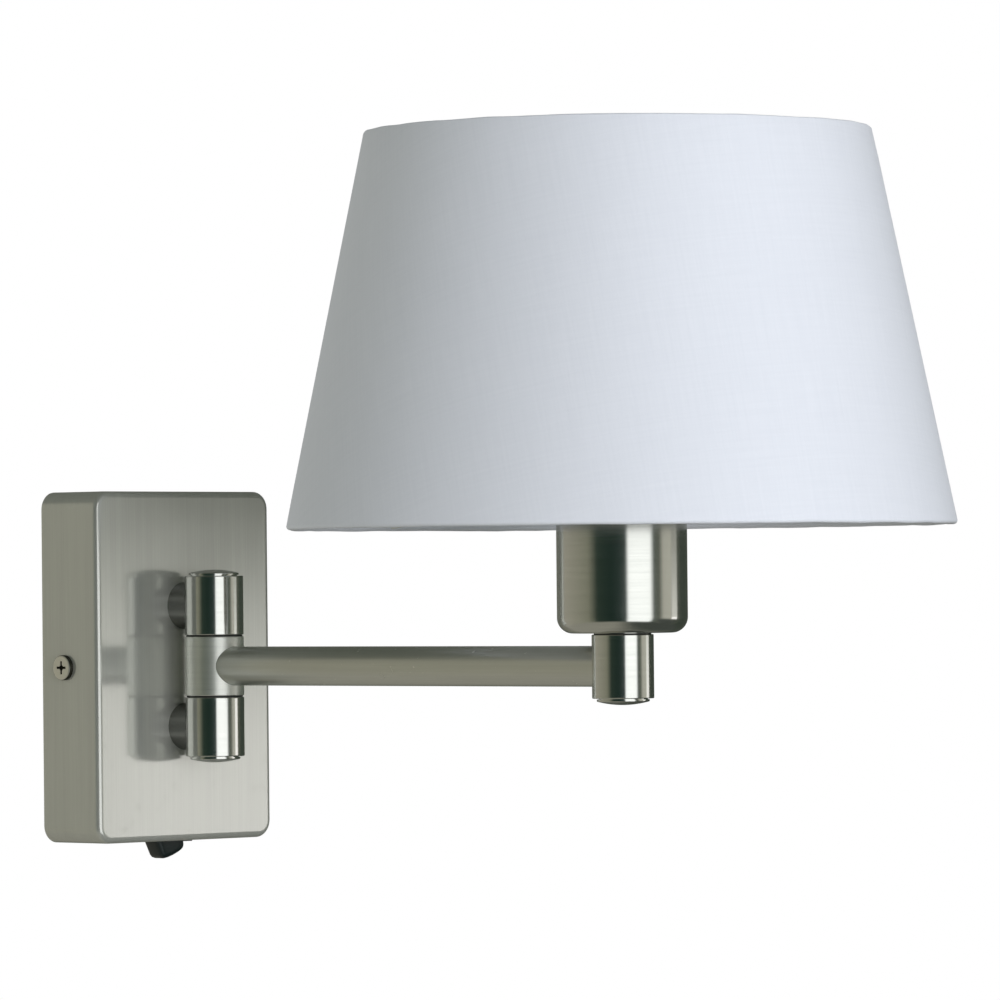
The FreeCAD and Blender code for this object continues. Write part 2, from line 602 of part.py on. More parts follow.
def post_lock_washers():
    washers = []
    for z in (KNUCKLE_STEP, -KNUCKLE_STEP):
        washer = pipe(LOCK_WASHER_RADIUS, STUD_RADIUS + HOLE, V(0, BOX_INSIDE_FACE, z), V(0, NUT_NEAR, z))
        for i in range(12):
            turn = math.radians(30 * i)
            x, dz = math.cos(turn) * LOCK_WASHER_RADIUS, math.sin(turn) * LOCK_WASHER_RADIUS
            washer = washer.cut(rod(0.8, V(x, BOX_INSIDE_FACE - 1, z + dz), V(x, NUT_NEAR + 1, z + dz)))
        washers.append(washer)
    return washers


def post_nuts():
    return [hex_nut(NUT_FLATS, STUD_RADIUS + THREAD, V(0, NUT_NEAR, z), Y_AXIS, NUT_THICKNESS)
            for z in (KNUCKLE_STEP, -KNUCKLE_STEP)]


def barrel(radius, height, middle, at):
    """A plain barrel with its end edges broken."""
    shape = rod(radius, at(middle - height / 2), at(middle + height / 2))
    ends = edges_at(shape, 2, middle - height / 2) + edges_at(shape, 2, middle + height / 2)
    return shape.makeFillet(KNUCKLE_EDGE, ends)


def fixed_knuckle(side):
    """A knuckle on a post; side is 1 above the arm and -1 below it."""
    middle = side * KNUCKLE_STEP
    shape = barrel(KNUCKLE_RADIUS, KNUCKLE_HEIGHT, middle, at_column)
    shape = shape.cut(rod(PIVOT_RADIUS + THREAD, at_column(middle - KNUCKLE_HEIGHT), at_column(middle + KNUCKLE_HEIGHT)))
    pocket_floor = side * (COLUMN_END - CAP_POCKET_DEPTH)
    shape = shape.cut(rod(CAP_POCKET_RADIUS, at_column(pocket_floor), at_column(side * (COLUMN_END + 1))))
    return shape.cut(rod(STUD_RADIUS + THREAD, at_column(middle), V(0, COLUMN_Y + 2 * KNUCKLE_RADIUS, middle)))


def pivot_tube():
    end = COLUMN_END - 0.9
    tube = pipe(PIVOT_RADIUS, PIVOT_BORE_RADIUS, at_column(-end), at_column(end))
    tube = tube.cut(rod(LEAD_WINDOW_RADIUS, at_column(-KNUCKLE_STEP), V(0, COLUMN_Y + 2 * PIVOT_RADIUS, -KNUCKLE_STEP)))
    half = SWING_HALF_ANGLE + math.degrees(math.asin(min(LEAD_WINDOW_RADIUS / PIVOT_BORE_RADIUS, 0.95)))
    half = min(half, 145.0)
    sector = Part.makeCylinder(PIVOT_RADIUS + 1, 2 * LEAD_WINDOW_RADIUS, V(0, 0, 0), Z_AXIS, 2 * half)
    sector.rotate(V(0, 0, 0), Z_AXIS, -90 - half)
    sector.translate(at_column(-LEAD_WINDOW_RADIUS))
    return tube.cut(sector)


def hinge_washers():
    washers = []
    for side in (-1, 1):
        near = side * (KNUCKLE_HEIGHT / 2 + FACE)
        washers.append(pipe(HINGE_WASHER_RADIUS, PIVOT_RADIUS + RUNNING, at_column(near),
                            at_column(near + side * HINGE_WASHER_THICKNESS)))
    return washers


def domed_cap(at, end, side):
    """A cap nut on the end of a hollow rod. The end is the z of the barrel's end face, side the way it points."""
    dome_low = CAP_NECK + CAP_RIM
    inset = CAP_RADIUS - 0.4
    sphere = (inset ** 2 + CAP_DOME ** 2) / (2 * CAP_DOME)
    half = math.degrees(math.asin(inset / sphere)) / 2
    crown = (0, dome_low + CAP_DOME - sphere)
    outline = [(0, dome_low + CAP_DOME), (arc_point(crown, sphere, 90 - half), (inset, dome_low)),
               (arc_point((inset, dome_low - 0.4), 0.4, 45), (CAP_RADIUS, dome_low - 0.4)),
               (CAP_RADIUS, CAP_NECK), (CAP_RADIUS - 0.7, CAP_NECK), (CAP_RADIUS - 0.7, 0),
               (CAP_HUB_RADIUS, 0), (CAP_HUB_RADIUS, -CAP_HUB_LENGTH), (PIVOT_RADIUS + THREAD, -CAP_HUB_LENGTH),
               (PIVOT_RADIUS + THREAD, -0.6), (0, -0.6)]
    cap = turned(outline, 0)
    if side < 0:
        cap.rotate(V(0, 0, 0), X_AXIS, 180)
    cap.translate(at(end))
    return cap


def spring_washers():
    """Dished washers under the caps' hubs."""
    washers = []
    floor = COLUMN_END - CAP_POCKET_DEPTH
    rise = CAP_POCKET_DEPTH - CAP_HUB_LENGTH - SPRING_WASHER_THICKNESS
    outer, inner = CAP_POCKET_RADIUS - 0.3, PIVOT_RADIUS + HOLE
    for side in (-1, 1):
        washer = turned([(outer, floor), (outer, floor + SPRING_WASHER_THICKNESS),
                         (inner, floor + SPRING_WASHER_THICKNESS + rise), (inner, floor + rise)], 0)
        if side < 0:
            washer.rotate(V(0, 0, 0), X_AXIS, 180)
        washer.translate(at_column(0))
        washers.append(washer)
    return washers


# ---------------------------------------------------------------- arm
def tube_socket(radius, at, way):
    """The cutter for the coped socket that takes an end of the arm tube, and for the lead's passage behind it."""
    cope = radius - BRAZE_DEPTH - FACE
    out = at(0) + Y_AXIS * way * 2 * radius
    socket = rod(TUBE_RADIUS + BRAZE, at(0), out).cut(rod(cope, at(-3 * radius), at(3 * radius)))
    return socket.fuse(rod(LEAD_PASSAGE_RADIUS, at(0), out))


def arm_knuckle():
    shape = barrel(KNUCKLE_RADIUS, KNUCKLE_HEIGHT, 0, at_column)
    shape = shape.cut(rod(PIVOT_RADIUS + RUNNING, at_column(-KNUCKLE_HEIGHT), at_column(KNUCKLE_HEIGHT)))
    return shape.cut(tube_socket(KNUCKLE_RADIUS, at_column, -1))


def arm_tube():
    tube = pipe(TUBE_RADIUS, TUBE_BORE_RADIUS, at_column(0), at_lamp(0))
    tall = 3 * KNUCKLE_RADIUS
    tube = tube.cut(rod(KNUCKLE_RADIUS - BRAZE_DEPTH, at_column(-tall), at_column(tall)))
    return tube.cut(rod(BARREL_RADIUS - BRAZE_DEPTH, at_lamp(-tall), at_lamp(tall)))


def end_barrel():
    shape = barrel(BARREL_RADIUS, BARREL_HEIGHT, 0, at_lamp)
    shape = shape.cut(rod(PIVOT_RADIUS + THREAD, at_lamp(-BARREL_HEIGHT), at_lamp(BARREL_HEIGHT)))
    shape = shape.cut(rod(CAP_POCKET_RADIUS, at_lamp(CAP_POCKET_DEPTH - BARREL_TOP), at_lamp(-BARREL_TOP - 1)))
    return shape.cut(tube_socket(BARREL_RADIUS, at_lamp, 1))


def lamp_rod():
    """The hollow threaded rod that clamps the cap, barrel and cup, with a side window for the lead."""
    tube = pipe(PIVOT_RADIUS, PIVOT_BORE_RADIUS, at_lamp(0.9 - BARREL_TOP), at_lamp(ROD_TOP))
    return tube.cut(rod(LEAD_WINDOW_RADIUS, at_lamp(0), V(0, LAMP_Y + 2 * PIVOT_RADIUS, 0)))


# ---------------------------------------------------------------- lamp cup and lampholder
def lamp_cup():
    inside = CUP_RADIUS - CUP_WALL
    bend = (CUP_RADIUS - CUP_CORNER, CUP_BOTTOM + CUP_CORNER)
    tight = CUP_CORNER - CUP_WALL
    hole = PIVOT_RADIUS + HOLE
    return turned([(hole, CUP_BOTTOM), (bend[0], CUP_BOTTOM),
                   (arc_point(bend, CUP_CORNER, -45), (CUP_RADIUS, bend[1])),
                   (CUP_RADIUS, CUP_RIM), (inside, CUP_RIM), (inside, bend[1]),
                   (arc_point(bend, tight, -45), (bend[0], CUP_FLOOR)), (hole, CUP_FLOOR)], LAMP_Y)


def holder_base():
    inner = HOLDER_BASE_RADIUS - HOLDER_WALL
    flare = HOLDER_BOTTOM + 6.0
    lip = HOLDER_SHOULDER + HOLDER_LIP_HEIGHT
    bore = PIVOT_RADIUS + THREAD
    return turned([(bore, HOLDER_BOTTOM), (HOLDER_NECK_RADIUS, HOLDER_BOTTOM),
                   (HOLDER_NECK_RADIUS, HOLDER_BOTTOM + 2.0), (HOLDER_BASE_RADIUS, flare),
                   (HOLDER_BASE_RADIUS, HOLDER_SHOULDER), (HOLDER_LIP_RADIUS, HOLDER_SHOULDER),
                   (HOLDER_LIP_RADIUS, lip), (inner, lip), (inner, flare + 1.5),
                   (HOLDER_NECK_RADIUS, flare - 0.5), (bore, flare - 0.5)], LAMP_Y)


def holder_contact_block():
    radius = HOLDER_BASE_RADIUS - HOLDER_WALL - 0.2
    disc = rod(radius, at_lamp(CONTACT_BLOCK_BOTTOM), at_lamp(CONTACT_BLOCK_TOP))
    return disc.makeFillet(0.6, edges_at(disc, 2, CONTACT_BLOCK_BOTTOM))


def centre_contact():
    """The folded strip that presses on the bulb's tip."""
    low = CONTACT_BLOCK_TOP
    high = BULB_BOTTOM
    foot = block(span(0, 5.0), span(LAMP_Y, 14.0), (low, low + 0.5))
    riser = block(span(0, 5.0), (LAMP_Y + 6.5, LAMP_Y + 7.0), (low, high))
    tongue = block(span(0, 5.0), (LAMP_Y - 3.0, LAMP_Y + 7.0), (high - 0.5, high))
    return foot.fuse([riser, tongue]).removeSplitter()


def skirt_thread_profile():
    """The threaded outside of the skirt, from its bottom ridge up, as (radius, z) points."""
    low = SKIRT_TOP - SKIRT_THREAD_PITCH * SKIRT_THREAD_TURNS
    points = [(SKIRT_RADIUS, low)]
    for i in range(SKIRT_THREAD_TURNS):
        z = low + i * SKIRT_THREAD_PITCH
        points += [(SKIRT_THREAD_RADIUS, z + 0.3 * SKIRT_THREAD_PITCH),
                   (SKIRT_THREAD_RADIUS, z + 0.6 * SKIRT_THREAD_PITCH),
                   (SKIRT_THREAD_RADIUS - SKIRT_THREAD_DEPTH, z + 0.95 * SKIRT_THREAD_PITCH)]
    return points


def holder_skirt():
    lip_bore = HOLDER_LIP_RADIUS + THREAD
    return turned([(lip_bore, HOLDER_SHOULDER + FACE), (SKIRT_RADIUS, HOLDER_SHOULDER + FACE)]
                  + skirt_thread_profile()
                  + [(SKIRT_THREAD_RADIUS - SKIRT_THREAD_DEPTH, SKIRT_TOP), (SKIRT_BORE_RADIUS, SKIRT_TOP),
                     (SKIRT_BORE_RADIUS, SKIRT_SHELF), (lip_bore, SKIRT_SHELF)], LAMP_Y)


def shade_ring(bottom, height):
    """A ring nut on the skirt, with grip notches round its rim."""
    bore = SKIRT_THREAD_RADIUS + THREAD
    top = bottom + height
    ring = turned([(bore, bottom), (RING_RADIUS, bottom), (RING_RADIUS, top - 1.0), (RING_RADIUS - 1.0, top),
                   (bore, top)], LAMP_Y)
    for i in range(RING_NOTCHES):
        turn = 2 * math.pi * i / RING_NOTCHES
        x, y = (RING_RADIUS + 0.6) * math.cos(turn), (RING_RADIUS + 0.6) * math.sin(turn)
        ring = ring.cut(rod(1.4, V(x, LAMP_Y + y, bottom - 1), V(x, LAMP_Y + y, top + 1)))
    return ring


# ---------------------------------------------------------------- shade
def shade_radius(z):
    """The outside radius of the shade at a height."""
    share = (z - SHADE_BOTTOM) / SHADE_HEIGHT
    return SHADE_BOTTOM_RADIUS + share * (SHADE_TOP_RADIUS - SHADE_BOTTOM_RADIUS)


def shade_skin(outer_inset, thickness):
    """A tapered shell that follows the shade's outside at a given inset."""
    bottom, top = SHADE_BOTTOM_RADIUS - outer_inset, SHADE_TOP_RADIUS - outer_inset
    return turned([(bottom, SHADE_BOTTOM), (top, SHADE_TOP), (top - thickness, SHADE_TOP),
                   (bottom - thickness, SHADE_BOTTOM)], LAMP_Y)


def frame_ring(z):
    """A wire ring that holds the shade to its round shape just inside the lining."""
    lean = abs(SHADE_BOTTOM_RADIUS - SHADE_TOP_RADIUS) / SHADE_HEIGHT
    inset = SHADE_CLOTH + SHADE_LINING + FRAME_WIRE_RADIUS * math.sqrt(1 + lean ** 2) + FACE
    return Part.makeTorus(shade_radius(z) - inset, FRAME_WIRE_RADIUS, at_lamp(z), Z_AXIS)


def shade_bottom_ring():
    return frame_ring(SHADE_BOTTOM + FRAME_WIRE_INSET)


def shade_top_ring():
    return frame_ring(SHADE_TOP - FRAME_WIRE_INSET)


def shade_carrier():
    """The flat ring clamped on the lampholder and the spokes that carry the shade's bottom ring."""
    carrier = pipe(RING_RADIUS + 0.5, CARRIER_HOLE_RADIUS, at_lamp(CARRIER_BOTTOM),
                   at_lamp(CARRIER_BOTTOM + CARRIER_THICKNESS))
    ring_z = SHADE_BOTTOM + FRAME_WIRE_INSET
    inner, outer = CARRIER_HOLE_RADIUS + SPOKE_RADIUS + 1.5, shade_radius(ring_z) - 3 * FRAME_WIRE_RADIUS
    start_z = CARRIER_BOTTOM + CARRIER_THICKNESS / 2
    bottom_ring = shade_bottom_ring()
    trim = rod(RING_RADIUS + 0.2, at_lamp(CARRIER_BOTTOM - 4), at_lamp(CARRIER_BOTTOM))
    trim = trim.fuse(rod(RING_RADIUS + 0.2, at_lamp(UPPER_RING_BOTTOM), at_lamp(UPPER_RING_BOTTOM + 4)))
    for i in range(SPOKE_COUNT):
        turn = math.radians(90 + 360 * i / SPOKE_COUNT)
        way = V(math.cos(turn), math.sin(turn), 0)
        spoke = rod(SPOKE_RADIUS, at_lamp(start_z) + way * inner, at_lamp(ring_z) + way * outer)
        carrier = carrier.fuse(spoke.cut(trim))
    return carrier.cut(bottom_ring)


# ---------------------------------------------------------------- bulb
def bulb_glass():
    """A round bulb whose shoulder arc is tangent to the neck and to the globe."""
    neck_top = BULB_CENTRE - 1.37 * BULB_RADIUS
    drop = BULB_CENTRE - neck_top
    shoulder = (drop ** 2 + BULB_NECK_RADIUS ** 2 - BULB_RADIUS ** 2) / (2 * (BULB_RADIUS - BULB_NECK_RADIUS))
    globe_centre, shoulder_centre = (0, BULB_CENTRE), (BULB_NECK_RADIUS + shoulder, neck_top)
    lean = math.degrees(math.atan2(-drop, shoulder_centre[0]))

    def profile(inset):
        join = arc_point(globe_centre, BULB_RADIUS - inset, lean)
        return [(BULB_NECK_RADIUS - inset, BULB_NECK_BOTTOM), (BULB_NECK_RADIUS - inset, neck_top),
                (arc_point(shoulder_centre, shoulder + inset, (180 + 180 + lean) / 2), join),
                (arc_point(globe_centre, BULB_RADIUS - inset, (lean + 90) / 2), (0, BULB_TOP - inset))]

    outer = turned(profile(0) + [(0, BULB_NECK_BOTTOM)], LAMP_Y)
    inner = turned(profile(BULB_GLASS) + [(0, BULB_NECK_BOTTOM)], LAMP_Y)
    return outer.cut(inner)


def bulb_cap():
    """The screw cap, a thin shell with rounded thread ridges, cemented round the foot of the neck."""
    shell = 0.3
    low = BULB_BOTTOM + 3.5
    root = BULB_THREAD_RADIUS - 0.9
    outside = [(root, low)]
    for i in range(BULB_THREAD_TURNS):
        z = low + i * BULB_THREAD_PITCH
        outside += [(BULB_THREAD_RADIUS, z + 0.35 * BULB_THREAD_PITCH),
                    (BULB_THREAD_RADIUS, z + 0.65 * BULB_THREAD_PITCH), (root, z + BULB_THREAD_PITCH)]
    thread_top = low + BULB_THREAD_TURNS * BULB_THREAD_PITCH
    collar = BULB_NECK_RADIUS + FACE
    return turned([(root - shell, low)] + outside
                  + [(root, BULB_NECK_BOTTOM - 0.5), (collar + shell, BULB_NECK_BOTTOM),
                     (collar + shell, BULB_THREAD_TOP + 2.0), (collar, BULB_THREAD_TOP + 2.0),
                     (collar, BULB_NECK_BOTTOM - FACE), (root - shell, BULB_NECK_BOTTOM - 0.5),
                     (root - shell, thread_top)], LAMP_Y)


def bulb_insulator():
    low = BULB_BOTTOM + 1.2
    return turned([(0, low), (5.0, low), (11.0, BULB_BOTTOM + 3.5 - FACE),
                   (0, BULB_BOTTOM + 3.5 - FACE)], LAMP_Y)


def bulb_contact():
    return turned([(0, BULB_BOTTOM + FACE), (2.6, BULB_BOTTOM + FACE), (4.6, BULB_BOTTOM + 1.2),
                   (0, BULB_BOTTOM + 1.2)], LAMP_Y)


# ---------------------------------------------------------------- wiring
def wall_lead():
    """The sleeved lead from the terminal block, through the lower post and up into the pivot."""
    route = [V(0, SLEEVE_Y, SLEEVE_TOP), V(0, SLEEVE_Y, -KNUCKLE_STEP), at_column(-KNUCKLE_STEP),
             at_column(-(LEAD_BEND + LEAD_JOINT_GAP))]
    return bent_rod(route, LEAD_RADIUS, [9.0, LEAD_BEND])


def arm_lead():
    """The same lead from the pivot's centre through the arm and up the lamp rod into the lampholder."""
    route = [at_column(-LEAD_BEND), at_column(0), at_lamp(0), at_lamp(CONTACT_BLOCK_BOTTOM - FACE)]
    return bent_rod(route, LEAD_RADIUS, [LEAD_BEND, LEAD_BEND])


def lamp_cores():
    """The three cores of the sleeved lead, fanned out to the second, third and fourth poles."""
    poles = pole_places()
    inside = BLOCK_BOTTOM + 4.0
    plan = [(poles[1] + 0.95, -0.95, SLEEVE_Y + 0.6, 6.0, 0.4), (poles[2] - 0.95, 0.95, SLEEVE_Y + 0.6, 6.0, 0.4),
            (poles[3] - 0.95, 0.0, SLEEVE_Y - 1.1, 9.0, 1.4)]
    return [bent_rod([V(x, CLAMP_Y, inside), V(x, CLAMP_Y, leave), V(end_x, end_y, join),
                      V(end_x, end_y, SLEEVE_TOP + FACE)], CORE_RADIUS, [2.0, 2.0])
            for x, end_x, end_y, leave, join in plan]


def switch_wires():
    """The two wires from the first and second poles down to the switch's connectors."""
    poles = pole_places()
    inside = BLOCK_BOTTOM + 4.0
    top = SWITCH_TOP + BLADE_LENGTH + 1.6
    left, right = -BLADE_SPACING / 2, BLADE_SPACING / 2
    first = [V(poles[0], CLAMP_Y, inside), V(poles[0], CLAMP_Y, 2), V(poles[0] + 1, SWITCH_Y + 4, -16),
             V(left - 2.5, SWITCH_Y, -29), V(left, SWITCH_Y, top + 5), V(left, SWITCH_Y, top)]
    second = [V(poles[1] - 0.8, CLAMP_Y, inside), V(poles[1] - 0.8, CLAMP_Y, 4), V(poles[1] - 3, SLEEVE_Y - 4, -10),
              V(poles[1] - 1.6, SWITCH_Y + 1, -26), V(right - 2, SWITCH_Y + 1, -33.5), V(right, SWITCH_Y, top + 4.4),
              V(right, SWITCH_Y, top)]
    return [bent_rod(first, WIRE_RADIUS, [6.0, 6.0, 5.0, 3.0]),
            bent_rod(second, CORE_RADIUS, [5.0, 5.0, 3.2, 2.2, 2.0])]


def earth_lead():
    """The wire from the ring tag up to the fourth pole."""
    poles = pole_places()
    barrel_y = -(BRACKET_THICKNESS + EARTH_TAG_THICKNESS) - WIRE_RADIUS + 0.2
    route = [V(EARTH_X, barrel_y, EARTH_Z + 6.6), V(EARTH_X, barrel_y, EARTH_Z + 15),
             V(poles[3] + 0.9, CLAMP_Y, EARTH_Z + 24), V(poles[3] + 0.9, CLAMP_Y, BLOCK_BOTTOM + 4.0)]
    return bent_rod(route, CORE_RADIUS, [4.0, 4.0])


# ---------------------------------------------------------------- files
def nodes():
    """Every node's name with its solid or solids."""
    return {
        "wall_bracket": wall_bracket(),
        "box_cover": box_cover(),
        "side_screws": side_screws(),
        "terminal_block": terminal_block(),
        "terminal_clamps": terminal_clamps(),
        "terminal_screws": terminal_screws(),
        "terminal_block_screw": terminal_block_screw(),
        "earth_tag": earth_tag(),
        "earth_screw": earth_screw(),
        "switch_housing": switch_housing(),
        "switch_blades": switch_blades(),
        "spade_connectors": spade_connectors(),
        "switch_rocker": switch_rocker(),
        "upper_post_collar": post_collar(KNUCKLE_STEP),
        "lower_post_collar": post_collar(-KNUCKLE_STEP),
        "post_studs": post_studs(),
        "post_lock_washers": post_lock_washers(),
        "post_nuts": post_nuts(),
        "top_knuckle": fixed_knuckle(1),
        "bottom_knuckle": fixed_knuckle(-1),
        "pivot_tube": pivot_tube(),
        "hinge_washers": hinge_washers(),
        "spring_washers": spring_washers(),
        "top_hinge_cap": domed_cap(at_column, COLUMN_END, 1),
        "bottom_hinge_cap": domed_cap(at_column, -COLUMN_END, -1),
        "arm_knuckle": arm_knuckle(),
        "arm_tube": arm_tube(),
        "end_barrel": end_barrel(),
        "end_cap": domed_cap(at_lamp, -BARREL_TOP, -1),
        "lamp_rod": lamp_rod(),
        "cup_seat_washer": pipe(SEAT_WASHER_RADIUS, PIVOT_RADIUS + HOLE, at_lamp(BARREL_TOP), at_lamp(CUP_BOTTOM)),
        "lamp_cup": lamp_cup(),
        "cup_nut": hex_nut(NUT_FLATS, PIVOT_RADIUS + THREAD, at_lamp(CUP_FLOOR), Z_AXIS, NUT_THICKNESS),
        "holder_base": holder_base(),
        "holder_contact_block": holder_contact_block(),
        "centre_contact": centre_contact(),
        "holder_skirt": holder_skirt(),
        "lower_shade_ring": shade_ring(LOWER_RING_BOTTOM, LOWER_RING_HEIGHT),
        "upper_shade_ring": shade_ring(UPPER_RING_BOTTOM, UPPER_RING_HEIGHT),
        "shade_carrier": shade_carrier(),
        "shade_bottom_ring": shade_bottom_ring(),
        "shade_top_ring": shade_top_ring(),
        "shade_lining": shade_skin(SHADE_CLOTH, SHADE_LINING),
        "shade_cloth": shade_skin(0, SHADE_CLOTH),
        "bulb_glass": bulb_glass(),
        "bulb_cap": bulb_cap(),
        "bulb_insulator": bulb_insulator(),
        "bulb_contact": bulb_contact(),
        "wall_lead": wall_lead(),
        "arm_lead": arm_lead(),
        "lamp_cores": lamp_cores(),
        "switch_wires": switch_wires(),
        "earth_lead": earth_lead(),
    }


def main():
    os.makedirs("parts", exist_ok=True)
    for name, made in nodes().items():
        shape = Part.makeCompound(made) if isinstance(made, list) else made
        shape.exportStep(os.path.join("parts", name + ".step"))


main()
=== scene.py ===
"""The looks of the swing-arm wall lamp: satin nickel, a cotton shade with rolled hems, and its wiring."""

import json
import math

import bpy
from mathutils import Matrix, Vector


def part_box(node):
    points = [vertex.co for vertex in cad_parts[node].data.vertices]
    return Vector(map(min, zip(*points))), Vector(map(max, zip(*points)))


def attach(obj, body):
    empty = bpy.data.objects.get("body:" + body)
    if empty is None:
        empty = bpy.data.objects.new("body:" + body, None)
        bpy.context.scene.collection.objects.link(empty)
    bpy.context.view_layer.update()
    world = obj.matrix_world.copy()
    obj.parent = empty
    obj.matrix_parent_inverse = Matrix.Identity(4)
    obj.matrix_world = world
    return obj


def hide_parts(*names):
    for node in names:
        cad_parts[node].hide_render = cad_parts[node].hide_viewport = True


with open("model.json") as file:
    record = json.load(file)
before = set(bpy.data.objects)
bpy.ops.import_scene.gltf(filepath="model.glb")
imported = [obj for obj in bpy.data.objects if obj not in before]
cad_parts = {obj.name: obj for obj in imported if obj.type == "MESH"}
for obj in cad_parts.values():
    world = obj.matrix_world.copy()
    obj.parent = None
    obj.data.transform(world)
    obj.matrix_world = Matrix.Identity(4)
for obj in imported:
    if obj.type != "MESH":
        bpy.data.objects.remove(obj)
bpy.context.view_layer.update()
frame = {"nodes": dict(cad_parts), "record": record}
NODES = frame["nodes"]

MM = 0.001
UP = Vector((0, 0, 1))


# ------------------------------------------------------------------ places read from the frame
def middle(node):
    low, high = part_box(node)
    return (low + high) / 2


LAMP_AXIS = middle("lamp_rod")
LAMP_FOOT = Vector((LAMP_AXIS.x, LAMP_AXIS.y, 0))
CLOTH_LOW, CLOTH_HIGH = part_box("shade_cloth")
SHADE_BOTTOM, SHADE_TOP = CLOTH_LOW.z, CLOTH_HIGH.z
BOTTOM_RADIUS = (CLOTH_HIGH.x - CLOTH_LOW.x) / 2
SCREW_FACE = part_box("side_screws")[1].x


# ------------------------------------------------------------------ shader arithmetic
class Value:
    """A number that runs over a surface: the output of a shader node, with Python's arithmetic."""

    def __init__(self, finish, socket):
        self.finish, self.socket = finish, socket

    def _maths(self, operation, *others):
        terms = dict(enumerate((self,) + others))
        return self.finish.node("ShaderNodeMath", {"operation": operation}, terms)

    def _turned(self, operation, other):
        return self.finish.node("ShaderNodeMath", {"operation": operation}, {0: other, 1: self})

    def __add__(self, other):
        return self._maths("ADD", other)

    def __sub__(self, other):
        return self._maths("SUBTRACT", other)

    def __mul__(self, other):
        return self._maths("MULTIPLY", other)

    def __truediv__(self, other):
        return self._maths("DIVIDE", other)

    def __radd__(self, other):
        return self._turned("ADD", other)

    def __rsub__(self, other):
        return self._turned("SUBTRACT", other)

    def __rmul__(self, other):
        return self._turned("MULTIPLY", other)

    def __rtruediv__(self, other):
        return self._turned("DIVIDE", other)

    def call(self, operation, *others):
        """Any other maths operation by its name, such as SINE or GREATER_THAN."""
        return self._maths(operation, *others)

    def between(self, low, high):
        """0 below low, 1 above high and a smooth ramp from one to the other."""
        return self.finish.node("ShaderNodeMapRange", {"interpolation_type": "SMOOTHSTEP", "clamp": True},
                                {"Value": self, "From Min": low, "From Max": high})


class Finish:
    """A node tree that is built by calls: a material's, or the world's."""

    def __init__(self, tree):
        self.tree = tree

    def node(self, kind, settings=None, inputs=None, out=0):
        """Adds a node. Its settings are set first, then its inputs take values or other nodes' outputs."""
        made = self.tree.nodes.new(kind)
        for key, value in (settings or {}).items():
            if key == "stops":
                ramp = made.color_ramp
                while len(ramp.elements) < len(value):
                    ramp.elements.new(0.5)
                for element, (place, colour) in zip(ramp.elements, value):
                    element.position = place
                    element.color = (*colour, 1)
            elif key == "blend":
                made.color_ramp.interpolation = value
            else:
                setattr(made, key, value)
        for key, value in (inputs or {}).items():
            if isinstance(value, Value):
                self.tree.links.new(value.socket, made.inputs[key])
            else:
                made.inputs[key].default_value = value
        return Value(self, made.outputs[out]) if made.outputs else None

    def coords(self):
        return self.node("ShaderNodeTexCoord", out="Object")

    def parts(self, vector):
        """The x, y and z of a vector."""
        node = self.node("ShaderNodeSeparateXYZ", inputs={0: vector}).socket.node
        return [Value(self, node.outputs[axis]) for axis in "XYZ"]

    def vector(self, x, y, z):
        return self.node("ShaderNodeCombineXYZ", inputs={"X": x, "Y": y, "Z": z})

    def noise(self, vector, scale, detail=2.0, roughness=0.5):
        return self.node("ShaderNodeTexNoise", inputs={"Vector": vector, "Scale": scale, "Detail": detail,
                                                       "Roughness": roughness})

    def stretched(self, scale):
        """Object coordinates scaled by axis."""
        return self.node("ShaderNodeMapping", inputs={"Vector": self.coords(), "Scale": scale})

    def mix(self, share, first, second):
        """A colour between two colours."""
        return self.node("ShaderNodeMix", {"data_type": "RGBA"},
                         {"Factor": share, 6: self.colour(first), 7: self.colour(second)}, out=2)

    @staticmethod
    def colour(value):
        return value if isinstance(value, Value) or len(value) == 4 else (*value, 1)


class Surface(Finish):
    """A material with one principled shader. Constants go straight on its sockets."""

    def __init__(self, name, **constants):
        self.material = bpy.data.materials.new(name)
        self.material.use_nodes = True
        super().__init__(self.material.node_tree)
        self.shader = self.tree.nodes["Principled BSDF"]
        for key, value in constants.items():
            self.put(key.replace("_", " ").title().replace("Ior", "IOR"), value)

    def put(self, socket, value):
        if isinstance(value, Value):
            self.tree.links.new(value.socket, self.shader.inputs[socket])
        else:
            self.shader.inputs[socket].default_value = value

    def soften(self, roughness, share, metal):
        """Mixes in a second, wider reflection, from a ground that is metallic by the share given."""
        wide = self.tree.nodes.new("ShaderNodeBsdfPrincipled")
        for key in ("Base Color", "Normal"):
            for link in self.shader.inputs[key].links:
                self.tree.links.new(link.from_socket, wide.inputs[key])
        wide.inputs["Metallic"].default_value = metal
        wide.inputs["Roughness"].default_value = roughness
        both = self.node("ShaderNodeMixShader", inputs={0: share, 1: Value(self, self.shader.outputs[0]),
                                                        2: Value(self, wide.outputs[0])})
        self.tree.links.new(both.socket, self.tree.nodes["Material Output"].inputs["Surface"])

    def bump(self, height, depth):
        """A relief of the given depth in metres where the height runs from 0 to 1."""
        self.put("Normal", self.node("ShaderNodeBump", inputs={"Height": height, "Distance": depth}))


# ------------------------------------------------------------------ finishes
NICKEL = (0.575, 0.580, 0.545)
BRUSH_DEPTH = 0.003 * MM


